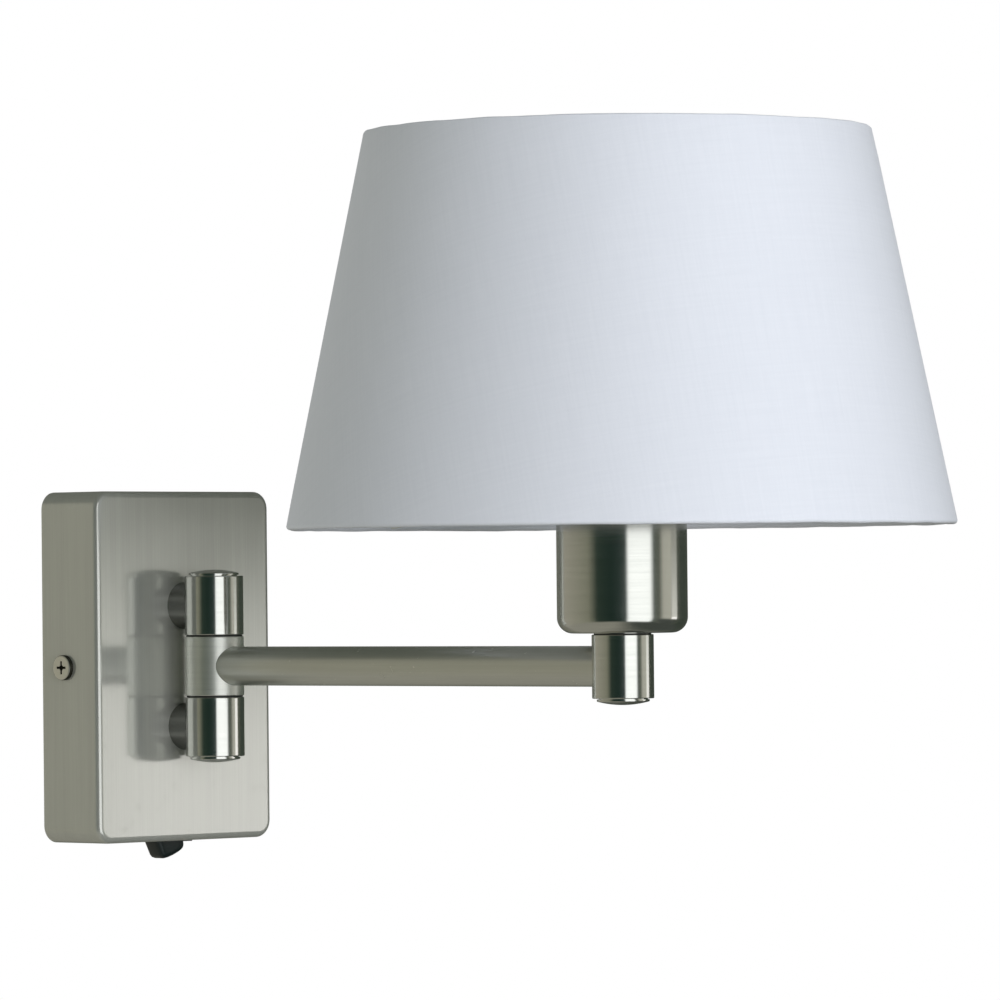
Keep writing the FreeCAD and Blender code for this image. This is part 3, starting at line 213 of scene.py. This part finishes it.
def satin_nickel(name, grain, sharp, soft, softness, shade=1.0, metal=1.0):
    """Nickel plate over a brushed ground, which mirrors once sharply and once softly.

    The grain says how fast the brush lines change along each axis, sharp and soft are the roughness of the
    two reflections, softness is the soft one's share, shade lightens or darkens the plating's colour as
    painted light or painted shade for how much light the part catches, and metal falls
    below 1 where the brushing scatters light all ways.
    """
    s = Surface(name, metallic=1.0)
    fine = s.noise(s.stretched(grain), 1.0, detail=3.0, roughness=0.65)
    broad = s.noise(s.stretched([g * 0.2 for g in grain]), 1.0, detail=2.0)
    haze = s.noise(s.coords(), 38.0, detail=3.0)
    rubbed = s.noise(s.coords(), 210.0, detail=4.0).between(0.60, 0.74)
    lines = fine * 0.65 + broad * 0.35
    tone = 0.5 + (lines - 0.5) * 1.5 + (haze - 0.5) * 0.30 - rubbed * 0.05
    # shade scales the nickel colour: above 1 it is painted light, below 1 painted shade
    s.put("Base Color", s.mix(tone, [c * 0.90 * shade for c in NICKEL], [c * 1.10 * shade for c in NICKEL]))
    s.put("Roughness", sharp + (lines - 0.5) * 0.10 + (haze - 0.5) * 0.05 + rubbed * 0.04)
    s.bump(lines, BRUSH_DEPTH)
    s.soften(soft, softness, metal)
    return s.material


def screw_nickel():
    """Bright nickel on a screw head, with painted shade darkening its cross and the side wall of its head.
    """
    s = Surface("screw_nickel", metallic=1.0)
    x, y, z = s.parts(s.coords())
    # painted shade: everything set in below the head's face (the cross and the head's side wall) is
    # darkened and made rougher
    inside = 1 - x.call("ABSOLUTE").between(SCREW_FACE - 0.35 * MM, SCREW_FACE - 0.05 * MM)
    mottle = s.noise(s.coords(), 700.0, detail=3.0)
    s.put("Base Color", s.mix(inside * (0.8 + mottle * 0.4), (0.80, 0.79, 0.74), (0.05, 0.05, 0.035)))
    s.put("Roughness", 0.34 + inside * 0.25 + mottle * 0.1)
    s.bump(mottle, 0.01 * MM)
    return s.material


def zinc_plate():
    """Bright zinc on pressed or turned steel, with its faint mottle."""
    s = Surface("zinc_plate", metallic=1.0)
    mottle = s.noise(s.coords(), 420.0, detail=4.0)
    cloud = s.noise(s.coords(), 60.0)
    s.put("Base Color", s.mix(mottle * 0.6 + cloud * 0.4, (0.50, 0.52, 0.54), (0.76, 0.76, 0.74)))
    s.put("Roughness", 0.26 + mottle * 0.2)
    s.bump(mottle, 0.01 * MM)
    return s.material


def plain_brass():
    """Machined brass with turning lines and a little tarnish."""
    s = Surface("plain_brass", metallic=1.0)
    lines = s.noise(s.stretched((300, 2600, 2600)), 1.0, detail=2.0)
    tarnish = s.noise(s.coords(), 160.0, detail=4.0).between(0.45, 0.75)
    s.put("Base Color", s.mix(tarnish, (0.78, 0.58, 0.30), (0.52, 0.35, 0.17)))
    s.put("Roughness", 0.22 + lines * 0.12 + tarnish * 0.2)
    s.bump(lines, 0.006 * MM)
    return s.material


def moulded(name, colour, roughness, grain_size, variation=0.08, coat=0.0):
    """Moulded plastic with a fine spark-eroded texture of a given grain size."""
    s = Surface(name, coat_weight=coat)
    grain = s.noise(s.coords(), 1 / grain_size, detail=3.0, roughness=0.6)
    cloud = s.noise(s.coords(), 45.0, detail=2.0)
    low = [c * (1 - variation) for c in colour]
    high = [min(c * (1 + variation) + 0.004, 1) for c in colour]
    s.put("Base Color", s.mix(grain * 0.5 + cloud * 0.5, low, high))
    s.put("Roughness", roughness + (grain - 0.5) * 0.18)
    s.bump(grain, 0.01 * MM)
    return s.material


def powder_coat():
    """White powder coat with its orange peel."""
    s = Surface("powder_coat", coat_weight=0.1)
    peel = s.noise(s.coords(), 700.0, detail=2.0)
    s.put("Base Color", s.mix(peel, (0.78, 0.78, 0.76), (0.86, 0.86, 0.84)))
    s.put("Roughness", 0.34 + peel * 0.12)
    s.bump(peel, 0.02 * MM)
    return s.material


def shade_threads(s, pitch):
    """Across and along the threads of cloth that was cut flat as a ring sector and rolled to the taper.

    Returns the warp and weft phases in turns, and the two places on the flat cut in metres.
    """
    from_axis = (-LAMP_AXIS.x, -LAMP_AXIS.y, 0)
    x, y, z = s.parts(s.node("ShaderNodeMapping", inputs={"Vector": s.coords(), "Location": from_axis}))
    angle = x.call("ARCTAN2", 0 - y) * FLAT_TURN
    reach = (APEX_Z - z) / FLAT_COSINE
    across = reach * angle.call("SINE")
    along = reach * angle.call("COSINE")
    return across / pitch, along / pitch, across, along


def cotton():
    """Cool white plain-weave cotton with slubs in both directions."""
    s = Surface("white_cotton", sheen_weight=0.12, sheen_roughness=0.5, specular_ior_level=0.25)
    warp, weft, across, along = shade_threads(s, THREAD_PITCH)
    over = (warp * math.tau).call("SINE") * (weft * math.tau).call("SINE")
    warp_slub = s.noise(s.vector(across * 900, along * 30, 0.0), 1.0, detail=3.0)
    weft_slub = s.noise(s.vector(across * 30, along * 900, 3.0), 1.0, detail=3.0)
    cloud = s.noise(s.vector(across, along, 7.0), 24.0, detail=3.0)
    tone = 0.5 + (warp_slub - 0.5) * 0.9 + (weft_slub - 0.5) * 0.7 + (cloud - 0.5) * 0.4 + over * 0.06
    s.put("Base Color", s.mix(tone, (0.785, 0.815, 0.905), (0.845, 0.872, 0.960)))
    s.put("Roughness", 0.82 + over * 0.05)
    s.bump(over * 0.15 + warp_slub * 0.6 + weft_slub * 0.5, 0.07 * MM)
    return s.material


def styrene_lining():
    """The stiff white sheet inside the shade, faintly streaked by its rollers."""
    s = Surface("styrene_lining", specular_ior_level=0.4)
    streak = s.noise(s.stretched((260, 260, 14)), 1.0, detail=3.0)
    s.put("Base Color", s.mix(streak, (0.80, 0.81, 0.80), (0.88, 0.885, 0.88)))
    s.put("Roughness", 0.48 + streak * 0.12)
    s.bump(streak, 0.02 * MM)
    return s.material


def opal_glass():
    """The bulb's white-frosted glass."""
    s = Surface("opal_glass", coat_weight=0.25, coat_roughness=0.15)
    frost = s.noise(s.coords(), 1500.0, detail=2.0)
    cloud = s.noise(s.coords(), 30.0)
    s.put("Base Color", s.mix(cloud, (0.86, 0.87, 0.87), (0.93, 0.94, 0.94)))
    s.put("Roughness", 0.32 + frost * 0.14)
    s.bump(frost, 0.004 * MM)
    return s.material


def rolled_aluminium():
    """The bulb's screw cap, rolled from bright sheet."""
    s = Surface("rolled_aluminium", metallic=1.0)
    lines = s.noise(s.stretched((200, 200, 3000)), 1.0, detail=2.0)
    s.put("Base Color", s.mix(lines, (0.74, 0.75, 0.76), (0.88, 0.89, 0.90)))
    s.put("Roughness", 0.2 + lines * 0.15)
    s.bump(lines, 0.005 * MM)
    return s.material


def steatite():
    """The lampholder's glazed insulator."""
    s = Surface("steatite", coat_weight=0.6, coat_roughness=0.08)
    speck = s.noise(s.coords(), 900.0, detail=3.0).between(0.62, 0.72)
    s.put("Base Color", s.mix(speck, (0.86, 0.85, 0.81), (0.62, 0.58, 0.52)))
    s.put("Roughness", 0.3 + speck * 0.2)
    s.bump(speck, 0.01 * MM)
    return s.material


def striped_pvc():
    """Green wire insulation with a yellow stripe along it."""
    s = Surface("green_yellow_pvc", coat_weight=0.3)
    x, y, z = s.parts(s.coords())
    stripe = ((x * 1400).call("SINE") * 0.5 + 0.5).between(0.45, 0.55)
    cloud = s.noise(s.coords(), 300.0)
    s.put("Base Color", s.mix(stripe, (0.06, 0.30, 0.07), (0.72, 0.62, 0.06)))
    s.put("Roughness", 0.3 + cloud * 0.2)
    return s.material


def pale_floor():
    """A pale matt floor that can be seen through from below."""
    s = Surface("pale_floor")
    cloud = s.noise(s.coords(), 3.0, detail=3.0)
    s.put("Base Color", s.mix(cloud, (0.82, 0.82, 0.81), (0.86, 0.86, 0.85)))
    s.put("Roughness", 0.7 + cloud * 0.1)
    below = s.node("ShaderNodeNewGeometry", out="Backfacing")
    clear = s.node("ShaderNodeBsdfTransparent")
    both = s.node("ShaderNodeMixShader", inputs={0: below, 1: Value(s, s.shader.outputs[0]), 2: clear})
    s.tree.links.new(both.socket, s.tree.nodes["Material Output"].inputs["Surface"])
    return s.material


# ------------------------------------------------------------------ mesh helpers
def deselect():
    bpy.ops.object.select_all(action="DESELECT")


def pick(obj):
    deselect()
    obj.select_set(True)
    bpy.context.view_layer.objects.active = obj


def apply_modifier(obj, kind, **settings):
    """Adds a modifier and applies it."""
    pick(obj)
    modifier = obj.modifiers.new(kind.lower(), kind)
    for key, value in settings.items():
        setattr(modifier, key, value)
    bpy.ops.object.modifier_apply(modifier=modifier.name)


def lathe(name, outline, steps=192, turn=math.tau, start=0.0):
    """Spins an outline of (radius, height) points about the lamp's axis, from an angle measured from +X."""
    way = Vector((math.cos(start), math.sin(start), 0))
    spots = [LAMP_FOOT + way * radius + UP * height for radius, height in outline]
    deselect()
    bpy.ops.mesh.primitive_plane_add(size=MM, location=spots[0])
    obj = bpy.context.object
    obj.name = obj.data.name = name
    bpy.ops.object.transform_apply(location=True)
    bpy.ops.object.mode_set(mode="EDIT")
    bpy.ops.mesh.select_all(action="SELECT")
    bpy.ops.mesh.merge(type="CENTER")
    for here, there in zip(spots, spots[1:]):
        bpy.ops.mesh.extrude_region_move(TRANSFORM_OT_translate={"value": there - here})
    bpy.ops.mesh.select_all(action="SELECT")
    bpy.ops.mesh.spin(steps=steps, angle=turn, center=LAMP_FOOT, axis=UP)
    bpy.ops.mesh.select_all(action="SELECT")
    bpy.ops.mesh.remove_doubles(threshold=0.002 * MM)
    bpy.ops.mesh.normals_make_consistent(inside=False)
    bpy.ops.object.mode_set(mode="OBJECT")
    return obj


def smooth(obj, angle=35):
    pick(obj)
    bpy.ops.object.shade_smooth_by_angle(angle=math.radians(angle))


def finish_piece(obj, material, body, slot, *stands_for):
    """Gives a new piece its material and its body, and hides the CAD nodes it stands for. The slot argument
    is not used.
    """
    obj.data.materials.clear()
    obj.data.materials.append(material)
    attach(obj, body)
    if stands_for:
        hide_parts(*stands_for)
    return obj


def round_points(centre, radius, first, last, count):
    """Points on an arc in the (radius, height) plane, angles in degrees."""
    step = (last - first) / (count - 1)
    return [(centre[0] + radius * math.cos(math.radians(first + i * step)),
             centre[1] + radius * math.sin(math.radians(first + i * step))) for i in range(count)]


# ------------------------------------------------------------------ shade
TOP_RADIUS = 96.0 * MM
CLOTH_THICKNESS = 0.45 * MM
LINING_THICKNESS = 0.5 * MM
THREAD_PITCH = 0.42 * MM
HEM_TURN_IN = 9.0 * MM
TURN_IN_INSET = 1.5 * MM
SEAM_WIDTH = 12 * MM
SEAM_PROUD = 0.42 * MM
LINING_INSET = 0.85 * MM
LOW_FOLD = 1.1 * MM
HIGH_FOLD = 0.5 * MM
SLANT = math.hypot(SHADE_TOP - SHADE_BOTTOM, BOTTOM_RADIUS - TOP_RADIUS)
FLAT_TURN = (BOTTOM_RADIUS - TOP_RADIUS) / SLANT
FLAT_COSINE = (SHADE_TOP - SHADE_BOTTOM) / SLANT
APEX_Z = SHADE_BOTTOM + BOTTOM_RADIUS * (SHADE_TOP - SHADE_BOTTOM) / (BOTTOM_RADIUS - TOP_RADIUS)
LEAN = math.degrees(math.asin(FLAT_TURN))


def on_taper(height, inset):
    """The (radius, height) point at a height, set in from the shade's outer line."""
    share = (height - SHADE_BOTTOM) / (SHADE_TOP - SHADE_BOTTOM)
    outer = BOTTOM_RADIUS + share * (TOP_RADIUS - BOTTOM_RADIUS)
    return (outer - inset / FLAT_COSINE, height)


def straight_side(low, high, inset, count):
    """Evenly spaced points up the taper from one height to another."""
    return [on_taper(low + (high - low) * i / count, inset) for i in range(count + 1)]


def ring_section(node):
    """The centre of a ring wire's section."""
    low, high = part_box(node)
    wire = (high.z - low.z) / 2
    return (high.x - low.x) / 2 - wire, (low.z + high.z) / 2


def cloth_outline():
    """The cloth's middle line, from its lower turn-in, round the two ring wires, to its upper one."""
    half = CLOTH_THICKNESS / 2
    low_ring, high_ring = ring_section("shade_bottom_ring"), ring_section("shade_top_ring")
    low_wrap = low_ring[1] - SHADE_BOTTOM - half
    high_wrap = SHADE_TOP - half - high_ring[1]
    low_fold = on_taper(SHADE_BOTTOM + half + LOW_FOLD, half + LOW_FOLD)
    high_fold = on_taper(SHADE_TOP - half - HIGH_FOLD, half + HIGH_FOLD)
    points = [on_taper(low_ring[1] + HEM_TURN_IN, TURN_IN_INSET)]
    points += round_points(low_ring, low_wrap, -200, -90, 12)
    points += round_points(low_fold, LOW_FOLD, -90, LEAN, 8)
    start, end = points[-1], high_fold[0] + HIGH_FOLD * math.cos(math.radians(LEAN))
    rise = high_fold[1] + HIGH_FOLD * math.sin(math.radians(LEAN)) - start[1]
    points += [(start[0] + (end - start[0]) * i / 14, start[1] + rise * i / 14) for i in range(1, 14)]
    points += round_points(high_fold, HIGH_FOLD, LEAN, 90, 6)
    points += round_points(high_ring, high_wrap, 90, 210, 12)
    return points + [on_taper(high_ring[1] - HEM_TURN_IN, TURN_IN_INSET)]


def pucker(cloth, reach, amount, size):
    """Makes the cloth slightly uneven within reach of its two hems."""
    group = cloth.vertex_groups.new(name="hems")
    for vertex in cloth.data.vertices:
        away = min(vertex.co.z - SHADE_BOTTOM, SHADE_TOP - vertex.co.z)
        group.add([vertex.index], max(0.0, 1 - away / reach), "REPLACE")
    clouds = bpy.data.textures.new("pucker", "CLOUDS")
    clouds.noise_scale = size
    apply_modifier(cloth, "DISPLACE", texture=clouds, strength=amount, mid_level=0.5, vertex_group="hems",
                   texture_coords="LOCAL")
    cloth.vertex_groups.clear()


def shade_cover():
    """The cotton cover with its rolled hems."""
    cloth = lathe("cotton_cover", cloth_outline())
    pucker(cloth, 7 * MM, 0.9 * MM, 22 * MM)
    apply_modifier(cloth, "SOLIDIFY", thickness=CLOTH_THICKNESS, offset=0.0)
    smooth(cloth, 60)
    return finish_piece(cloth, COTTON, "arm_unit", "shade_cotton", "shade_cloth")


def back_seam():
    """The lap where the cloth's ends meet, on the side towards the wall."""
    turn = SEAM_WIDTH / ((BOTTOM_RADIUS + TOP_RADIUS) / 2)
    outline = straight_side(SHADE_BOTTOM + 1.0 * MM, SHADE_TOP - 1.0 * MM, -SEAM_PROUD, 12)
    seam = lathe("back_seam", outline, steps=6, turn=turn, start=math.pi / 2 - turn / 2)
    apply_modifier(seam, "SOLIDIFY", thickness=CLOTH_THICKNESS, offset=0.0)
    smooth(seam, 60)
    return finish_piece(seam, COTTON, "arm_unit", "shade_cotton")


def lining():
    """The stiff sheet that the cloth is stretched on."""
    outline = straight_side(SHADE_BOTTOM + 1.6 * MM, SHADE_TOP - 1.6 * MM, LINING_INSET, 8)
    sheet = lathe("styrene_sheet", outline)
    apply_modifier(sheet, "SOLIDIFY", thickness=LINING_THICKNESS, offset=0.0)
    smooth(sheet, 60)
    return finish_piece(sheet, styrene_lining(), "arm_unit", "shade_lining", "shade_lining")


# ------------------------------------------------------------------ switch
ROCKER_SIZE = Vector((15.8, 9.0, 9.8)) * MM
ROCKER_TOP = 2.7 * MM
ROCKER_TAPER = (0.84, 0.94, 1)
ROCKER_BELLY = 0.7 * MM
ROCKER_CUTS = (-0.42, 0, 0.42)
ROCKER_ROUNDING = 2.2 * MM
ROCKER_TIP = math.radians(19)
PIVOT = Vector((0, middle("switch_rocker").y, -68.8 * MM))


def choose(obj, test):
    """Selects the vertices that pass a test of their place, in edit mode."""
    bpy.ops.object.mode_set(mode="OBJECT")
    for item in list(obj.data.polygons) + list(obj.data.edges):
        item.select = False
    for vertex in obj.data.vertices:
        vertex.select = test(vertex.co)
    bpy.ops.object.mode_set(mode="EDIT")


def rocker():
    """The switch rocker: tapered, round-bellied and round-edged, tipped so that its left end is out."""
    bottom = PIVOT.z + ROCKER_TOP - ROCKER_SIZE.z
    deselect()
    bpy.ops.mesh.primitive_cube_add(size=1, location=(PIVOT.x, PIVOT.y, bottom + ROCKER_SIZE.z / 2))
    obj = bpy.context.object
    obj.name = obj.data.name = "rocker_cap"
    obj.scale = ROCKER_SIZE
    bpy.ops.object.transform_apply(location=True, scale=True)
    bpy.ops.object.mode_set(mode="EDIT")
    bpy.ops.mesh.select_mode(type="VERT")
    choose(obj, lambda co: co.z < PIVOT.z - MM)
    bpy.ops.transform.resize(value=ROCKER_TAPER, center_override=PIVOT)
    half = ROCKER_SIZE.x / 2 * ROCKER_TAPER[0]
    cuts = [half * share for share in ROCKER_CUTS]
    for x in cuts:
        bpy.ops.mesh.select_all(action="SELECT")
        bpy.ops.mesh.bisect(plane_co=(x, 0, 0), plane_no=(1, 0, 0))
    for x in cuts:
        choose(obj, lambda co: co.z < PIVOT.z - MM and abs(co.x - x) < 0.1 * MM)
        bpy.ops.transform.translate(value=(0, 0, -ROCKER_BELLY * (1 - (x / half) ** 2)))
    bpy.ops.mesh.select_mode(type="EDGE")
    bpy.ops.object.mode_set(mode="OBJECT")
    for edge in obj.data.edges:
        a, b = (obj.data.vertices[i].co for i in edge.vertices)
        way = (b - a).normalized()
        low = a.z < PIVOT.z - MM and b.z < PIVOT.z - MM
        across = abs(way.y) > 0.9 and max(abs(a.x), abs(b.x)) < half - 0.1 * MM
        upright = abs(way.z) > 0.9 and min(abs(a.x), abs(b.x)) > half - 0.1 * MM
        edge.select = upright or (low and abs(way.z) < 0.9 and not across)
    bpy.ops.object.mode_set(mode="EDIT")
    bpy.ops.mesh.bevel(offset=ROCKER_ROUNDING, segments=6, profile=0.5, clamp_overlap=True)
    bpy.ops.mesh.select_all(action="SELECT")
    bpy.ops.transform.rotate(value=ROCKER_TIP, orient_axis="Y", center_override=PIVOT)
    bpy.ops.mesh.normals_make_consistent(inside=False)
    bpy.ops.object.mode_set(mode="OBJECT")
    smooth(obj, 50)
    return finish_piece(obj, BLACK, "rocker", "black_plastic", "switch_rocker")


# ------------------------------------------------------------------ make everything
COTTON = cotton()
cover = shade_cover()
seam = back_seam()
liner = lining()
BLACK = moulded("black_moulding", (0.0045, 0.011, 0.011), 0.34, 0.25 * MM)
rocker()

TURNED = satin_nickel("turned_nickel", (34, 34, 2600), 0.11, 0.36, 0.14)
FINISHES = {
    # The shade numbers here are painted light on the box cover, arm tube and arm knuckle, and painted shade
    # on the post collars; all are the same nickel plate.
    "box_cover": satin_nickel("brushed_plate", (1500, 1500, 16), 0.14, 0.80, 0.60, shade=1.15, metal=0.5),
    "arm_tube": satin_nickel("drawn_nickel", (1500, 18, 1500), 0.24, 0.48, 0.60, shade=1.12),
    "arm_knuckle": satin_nickel("dull_nickel", (34, 34, 2600), 0.30, 0.60, 0.70, shade=1.5),
    "upper_post_collar": satin_nickel("post_nickel_painted_shade", (34, 2600, 34), 0.20, 0.50, 0.20, shade=0.40),
    "side_screws": screw_nickel(),
}
FINISHES["lower_post_collar"] = FINISHES["upper_post_collar"]
BY_SLOT = {
    "satin_nickel": TURNED,
    "zinc_steel": zinc_plate(),
    "plain_brass": plain_brass(),
    "black_plastic": BLACK,
    "black_nylon": moulded("black_nylon", (0.012, 0.012, 0.013), 0.5, 0.2 * MM),
    "white_plastic": moulded("white_nylon", (0.80, 0.80, 0.76), 0.42, 0.3 * MM, variation=0.03),
    "clear_sleeve": moulded("clear_sleeve", (0.62, 0.66, 0.68), 0.22, 0.6 * MM, coat=0.4),
    "glazed_insulator": steatite(),
    "white_wire": powder_coat(),
    "shade_lining": BLACK,
    "shade_cotton": COTTON,
    "frosted_glass": opal_glass(),
    "bulb_aluminium": rolled_aluminium(),
    "lead_sheath": moulded("white_sheath", (0.78, 0.78, 0.75), 0.3, 0.5 * MM, coat=0.3),
    "core_insulation": moulded("brown_pvc", (0.16, 0.07, 0.03), 0.3, 0.4 * MM, coat=0.3),
    "earth_insulation": striped_pvc(),
}
SLOT_OF = {row["node"]: row["material_slot"] for row in frame["record"]["subparts"]}
for name, obj in NODES.items():
    material = FINISHES.get(name, BY_SLOT[SLOT_OF[name]])
    for slot in obj.material_slots:
        slot.material = material

# ------------------------------------------------------------------ camera
YAW = math.radians(46.3)
PITCH = math.radians(0.70)
ROLL = math.radians(-0.57)
DISTANCE = 2.6443
SIDE_STEP = -0.0458
EYE_HEIGHT = 0.031
towards = Vector((-math.sin(YAW), -math.cos(YAW), 0))
rightwards = Vector((math.cos(YAW), -math.sin(YAW), 0))
lens = bpy.data.cameras.new("camera")
lens.sensor_width, lens.lens = 36.0, 252.0
lens.clip_start, lens.clip_end = 0.1, 50.0
camera = bpy.data.objects.new("camera", lens)
bpy.context.scene.collection.objects.link(camera)
look = -towards * math.cos(PITCH) + UP * math.sin(PITCH)
spot = LAMP_FOOT + towards * DISTANCE + rightwards * SIDE_STEP + UP * EYE_HEIGHT
turned = look.to_track_quat("-Z", "Y").to_matrix() @ Matrix.Rotation(ROLL, 3, "Z")
camera.matrix_world = Matrix.Translation(spot) @ turned.to_4x4()
bpy.context.scene.camera = camera

# ------------------------------------------------------------------ light
scene = bpy.context.scene
scene.view_settings.view_transform = "Standard"
scene.view_settings.look = "None"
world = bpy.data.worlds.new("studio")
scene.world = world
world.use_nodes = True
w = Finish(world.node_tree)
world.node_tree.nodes.clear()
ray = w.node("ShaderNodeTexCoord", out="Generated")
dot = {"operation": "DOT_PRODUCT"}
to_right = w.node("ShaderNodeVectorMath", dot, {0: ray, 1: rightwards}, out="Value")
to_front = w.node("ShaderNodeVectorMath", dot, {0: ray, 1: towards}, out="Value")
height = w.parts(ray)[2]
round_about = to_right.call("ARCTAN2", to_front) / math.tau + 0.5


def stop(degrees, *colour):
    """A colour of the studio at an angle from the camera, towards the right."""
    return (degrees / 360 + 0.5, colour)


STUDIO = [
    stop(-180, 0.10, 0.11, 0.09), stop(-150, 0.20, 0.20, 0.17), stop(-138, 0.42, 0.41, 0.36),
    stop(-118, 0.44, 0.42, 0.35), stop(-87, 0.37, 0.36, 0.29), stop(-64, 0.30, 0.30, 0.23),
    stop(-46, 0.03, 0.05, 0.038), stop(-20, 0.014, 0.032, 0.025), stop(5, 0.02, 0.04, 0.035),
    stop(11, 1.75, 1.78, 1.80), stop(49, 1.75, 1.78, 1.80), stop(57, 0.10, 0.12, 0.10),
    stop(68, 0.13, 0.14, 0.11), stop(77, 0.62, 0.61, 0.54), stop(94, 0.66, 0.65, 0.57),
    stop(104, 0.13, 0.14, 0.11), stop(126, 0.055, 0.07, 0.055), stop(180, 0.07, 0.08, 0.065),
]
level = w.node("ShaderNodeValToRGB", {"stops": STUDIO}, {"Fac": round_about})
beside = to_right.between(0.80, 0.92)
above = w.mix((height - 0.36 + beside * 0.28).between(0.0, 0.18), level, (0.11, 0.12, 0.10))
underfoot = w.mix(to_right.between(-0.3, 0.4), (0.36, 0.35, 0.30), (0.08, 0.09, 0.08))
room = w.mix((-0.40 - height + beside * 0.32).between(0.0, 0.20), above, underfoot)
seen = w.node("ShaderNodeLightPath", out="Is Camera Ray")
sky = w.mix(seen, room, (1.0, 1.0, 1.0))
background = w.node("ShaderNodeBackground", inputs={"Color": sky})
w.node("ShaderNodeOutputWorld", inputs={"Surface": background})


def soft_light(name, place, aim, size, power, colour=(1, 1, 1)):
    """A soft panel of light, which nothing mirrors."""
    lamp = bpy.data.lights.new(name, "AREA")
    lamp.shape, lamp.size, lamp.size_y = "RECTANGLE", size[0], size[1]
    lamp.energy, lamp.color = power, colour
    obj = bpy.data.objects.new(name, lamp)
    scene.collection.objects.link(obj)
    obj.matrix_world = (Matrix.Translation(place)
                        @ (Vector(aim) - Vector(place)).to_track_quat("-Z", "Y").to_matrix().to_4x4())
    obj.visible_camera = obj.visible_glossy = False


def studio_place(turn, distance, rise):
    """A place round the lamp, its turn in degrees from the camera towards the right."""
    way = towards * math.cos(math.radians(turn)) + rightwards * math.sin(math.radians(turn))
    return LAMP_FOOT + way * distance + UP * rise


FLOOR_CENTRE = Vector((0, -0.2, -0.55))
FLOOR_RADIUS = 3.0
SHADE_MIDDLE = Vector((LAMP_AXIS.x, LAMP_AXIS.y, (SHADE_BOTTOM + SHADE_TOP) / 2))
soft_light("key", studio_place(31, 2.2, 0.35), SHADE_MIDDLE, (1.2, 1.2), 26.0)
soft_light("left", studio_place(-105, 2.2, 0.20), SHADE_MIDDLE, (1.2, 1.2), 12.0, (0.98, 1.0, 0.99))
soft_light("floor_wash", FLOOR_CENTRE + UP * 0.25, FLOOR_CENTRE, (9.0, 9.0), 190.0)
soft_light("behind", studio_place(160, 2.2, 0.9), SHADE_MIDDLE, (1.6, 1.6), 12.0)


CARD_DISTANCE, CARD_WIDTH, CARD_HEIGHT = 1.2, 0.28, 0.60
CARD_TONES = [(0.0, (0.08, 0.09, 0.07)), (0.17, (0.10, 0.11, 0.09)), (0.27, (1.72, 1.68, 1.68)),
              (0.44, (1.66, 1.62, 1.60)), (0.51, (1.15, 1.15, 1.10)), (0.57, (0.55, 0.55, 0.50)),
              (0.63, (0.24, 0.24, 0.21)), (0.72, (0.12, 0.13, 0.11)), (1.0, (0.05, 0.06, 0.045))]


def graded_card():
    """A tall card beside the camera that the box front mirrors: dark at the top and light below."""
    mirrored = Vector((-towards.x, towards.y, 0))
    deselect()
    upright = (math.pi / 2, 0, 0)
    bpy.ops.mesh.primitive_plane_add(size=1, location=mirrored * CARD_DISTANCE, rotation=upright)
    card = bpy.context.object
    card.name = "graded_card"
    card.scale = (CARD_WIDTH, CARD_HEIGHT, 1)
    card.rotation_euler.z = math.atan2(mirrored.y, mirrored.x) - math.pi / 2
    bpy.ops.object.transform_apply(location=True, rotation=True, scale=True)
    s = Surface("graded_glow", base_color=(0, 0, 0, 1), roughness=1.0, specular_ior_level=0.0)
    rise = s.parts(s.coords())[2] / CARD_HEIGHT + 0.5
    glow = s.node("ShaderNodeValToRGB", {"stops": CARD_TONES}, {"Fac": rise})
    s.put("Emission Color", glow)
    s.put("Emission Strength", 1.0)
    card.data.materials.append(s.material)
    card.visible_camera = card.visible_diffuse = card.visible_shadow = False


graded_card()

deselect()
bpy.ops.mesh.primitive_circle_add(vertices=96, radius=FLOOR_RADIUS, fill_type="NGON", location=FLOOR_CENTRE)
floor = bpy.context.object
floor.name = "floor"
bpy.ops.object.transform_apply(location=True)
floor.data.materials.append(pale_floor())
floor.visible_glossy = floor.visible_diffuse = False
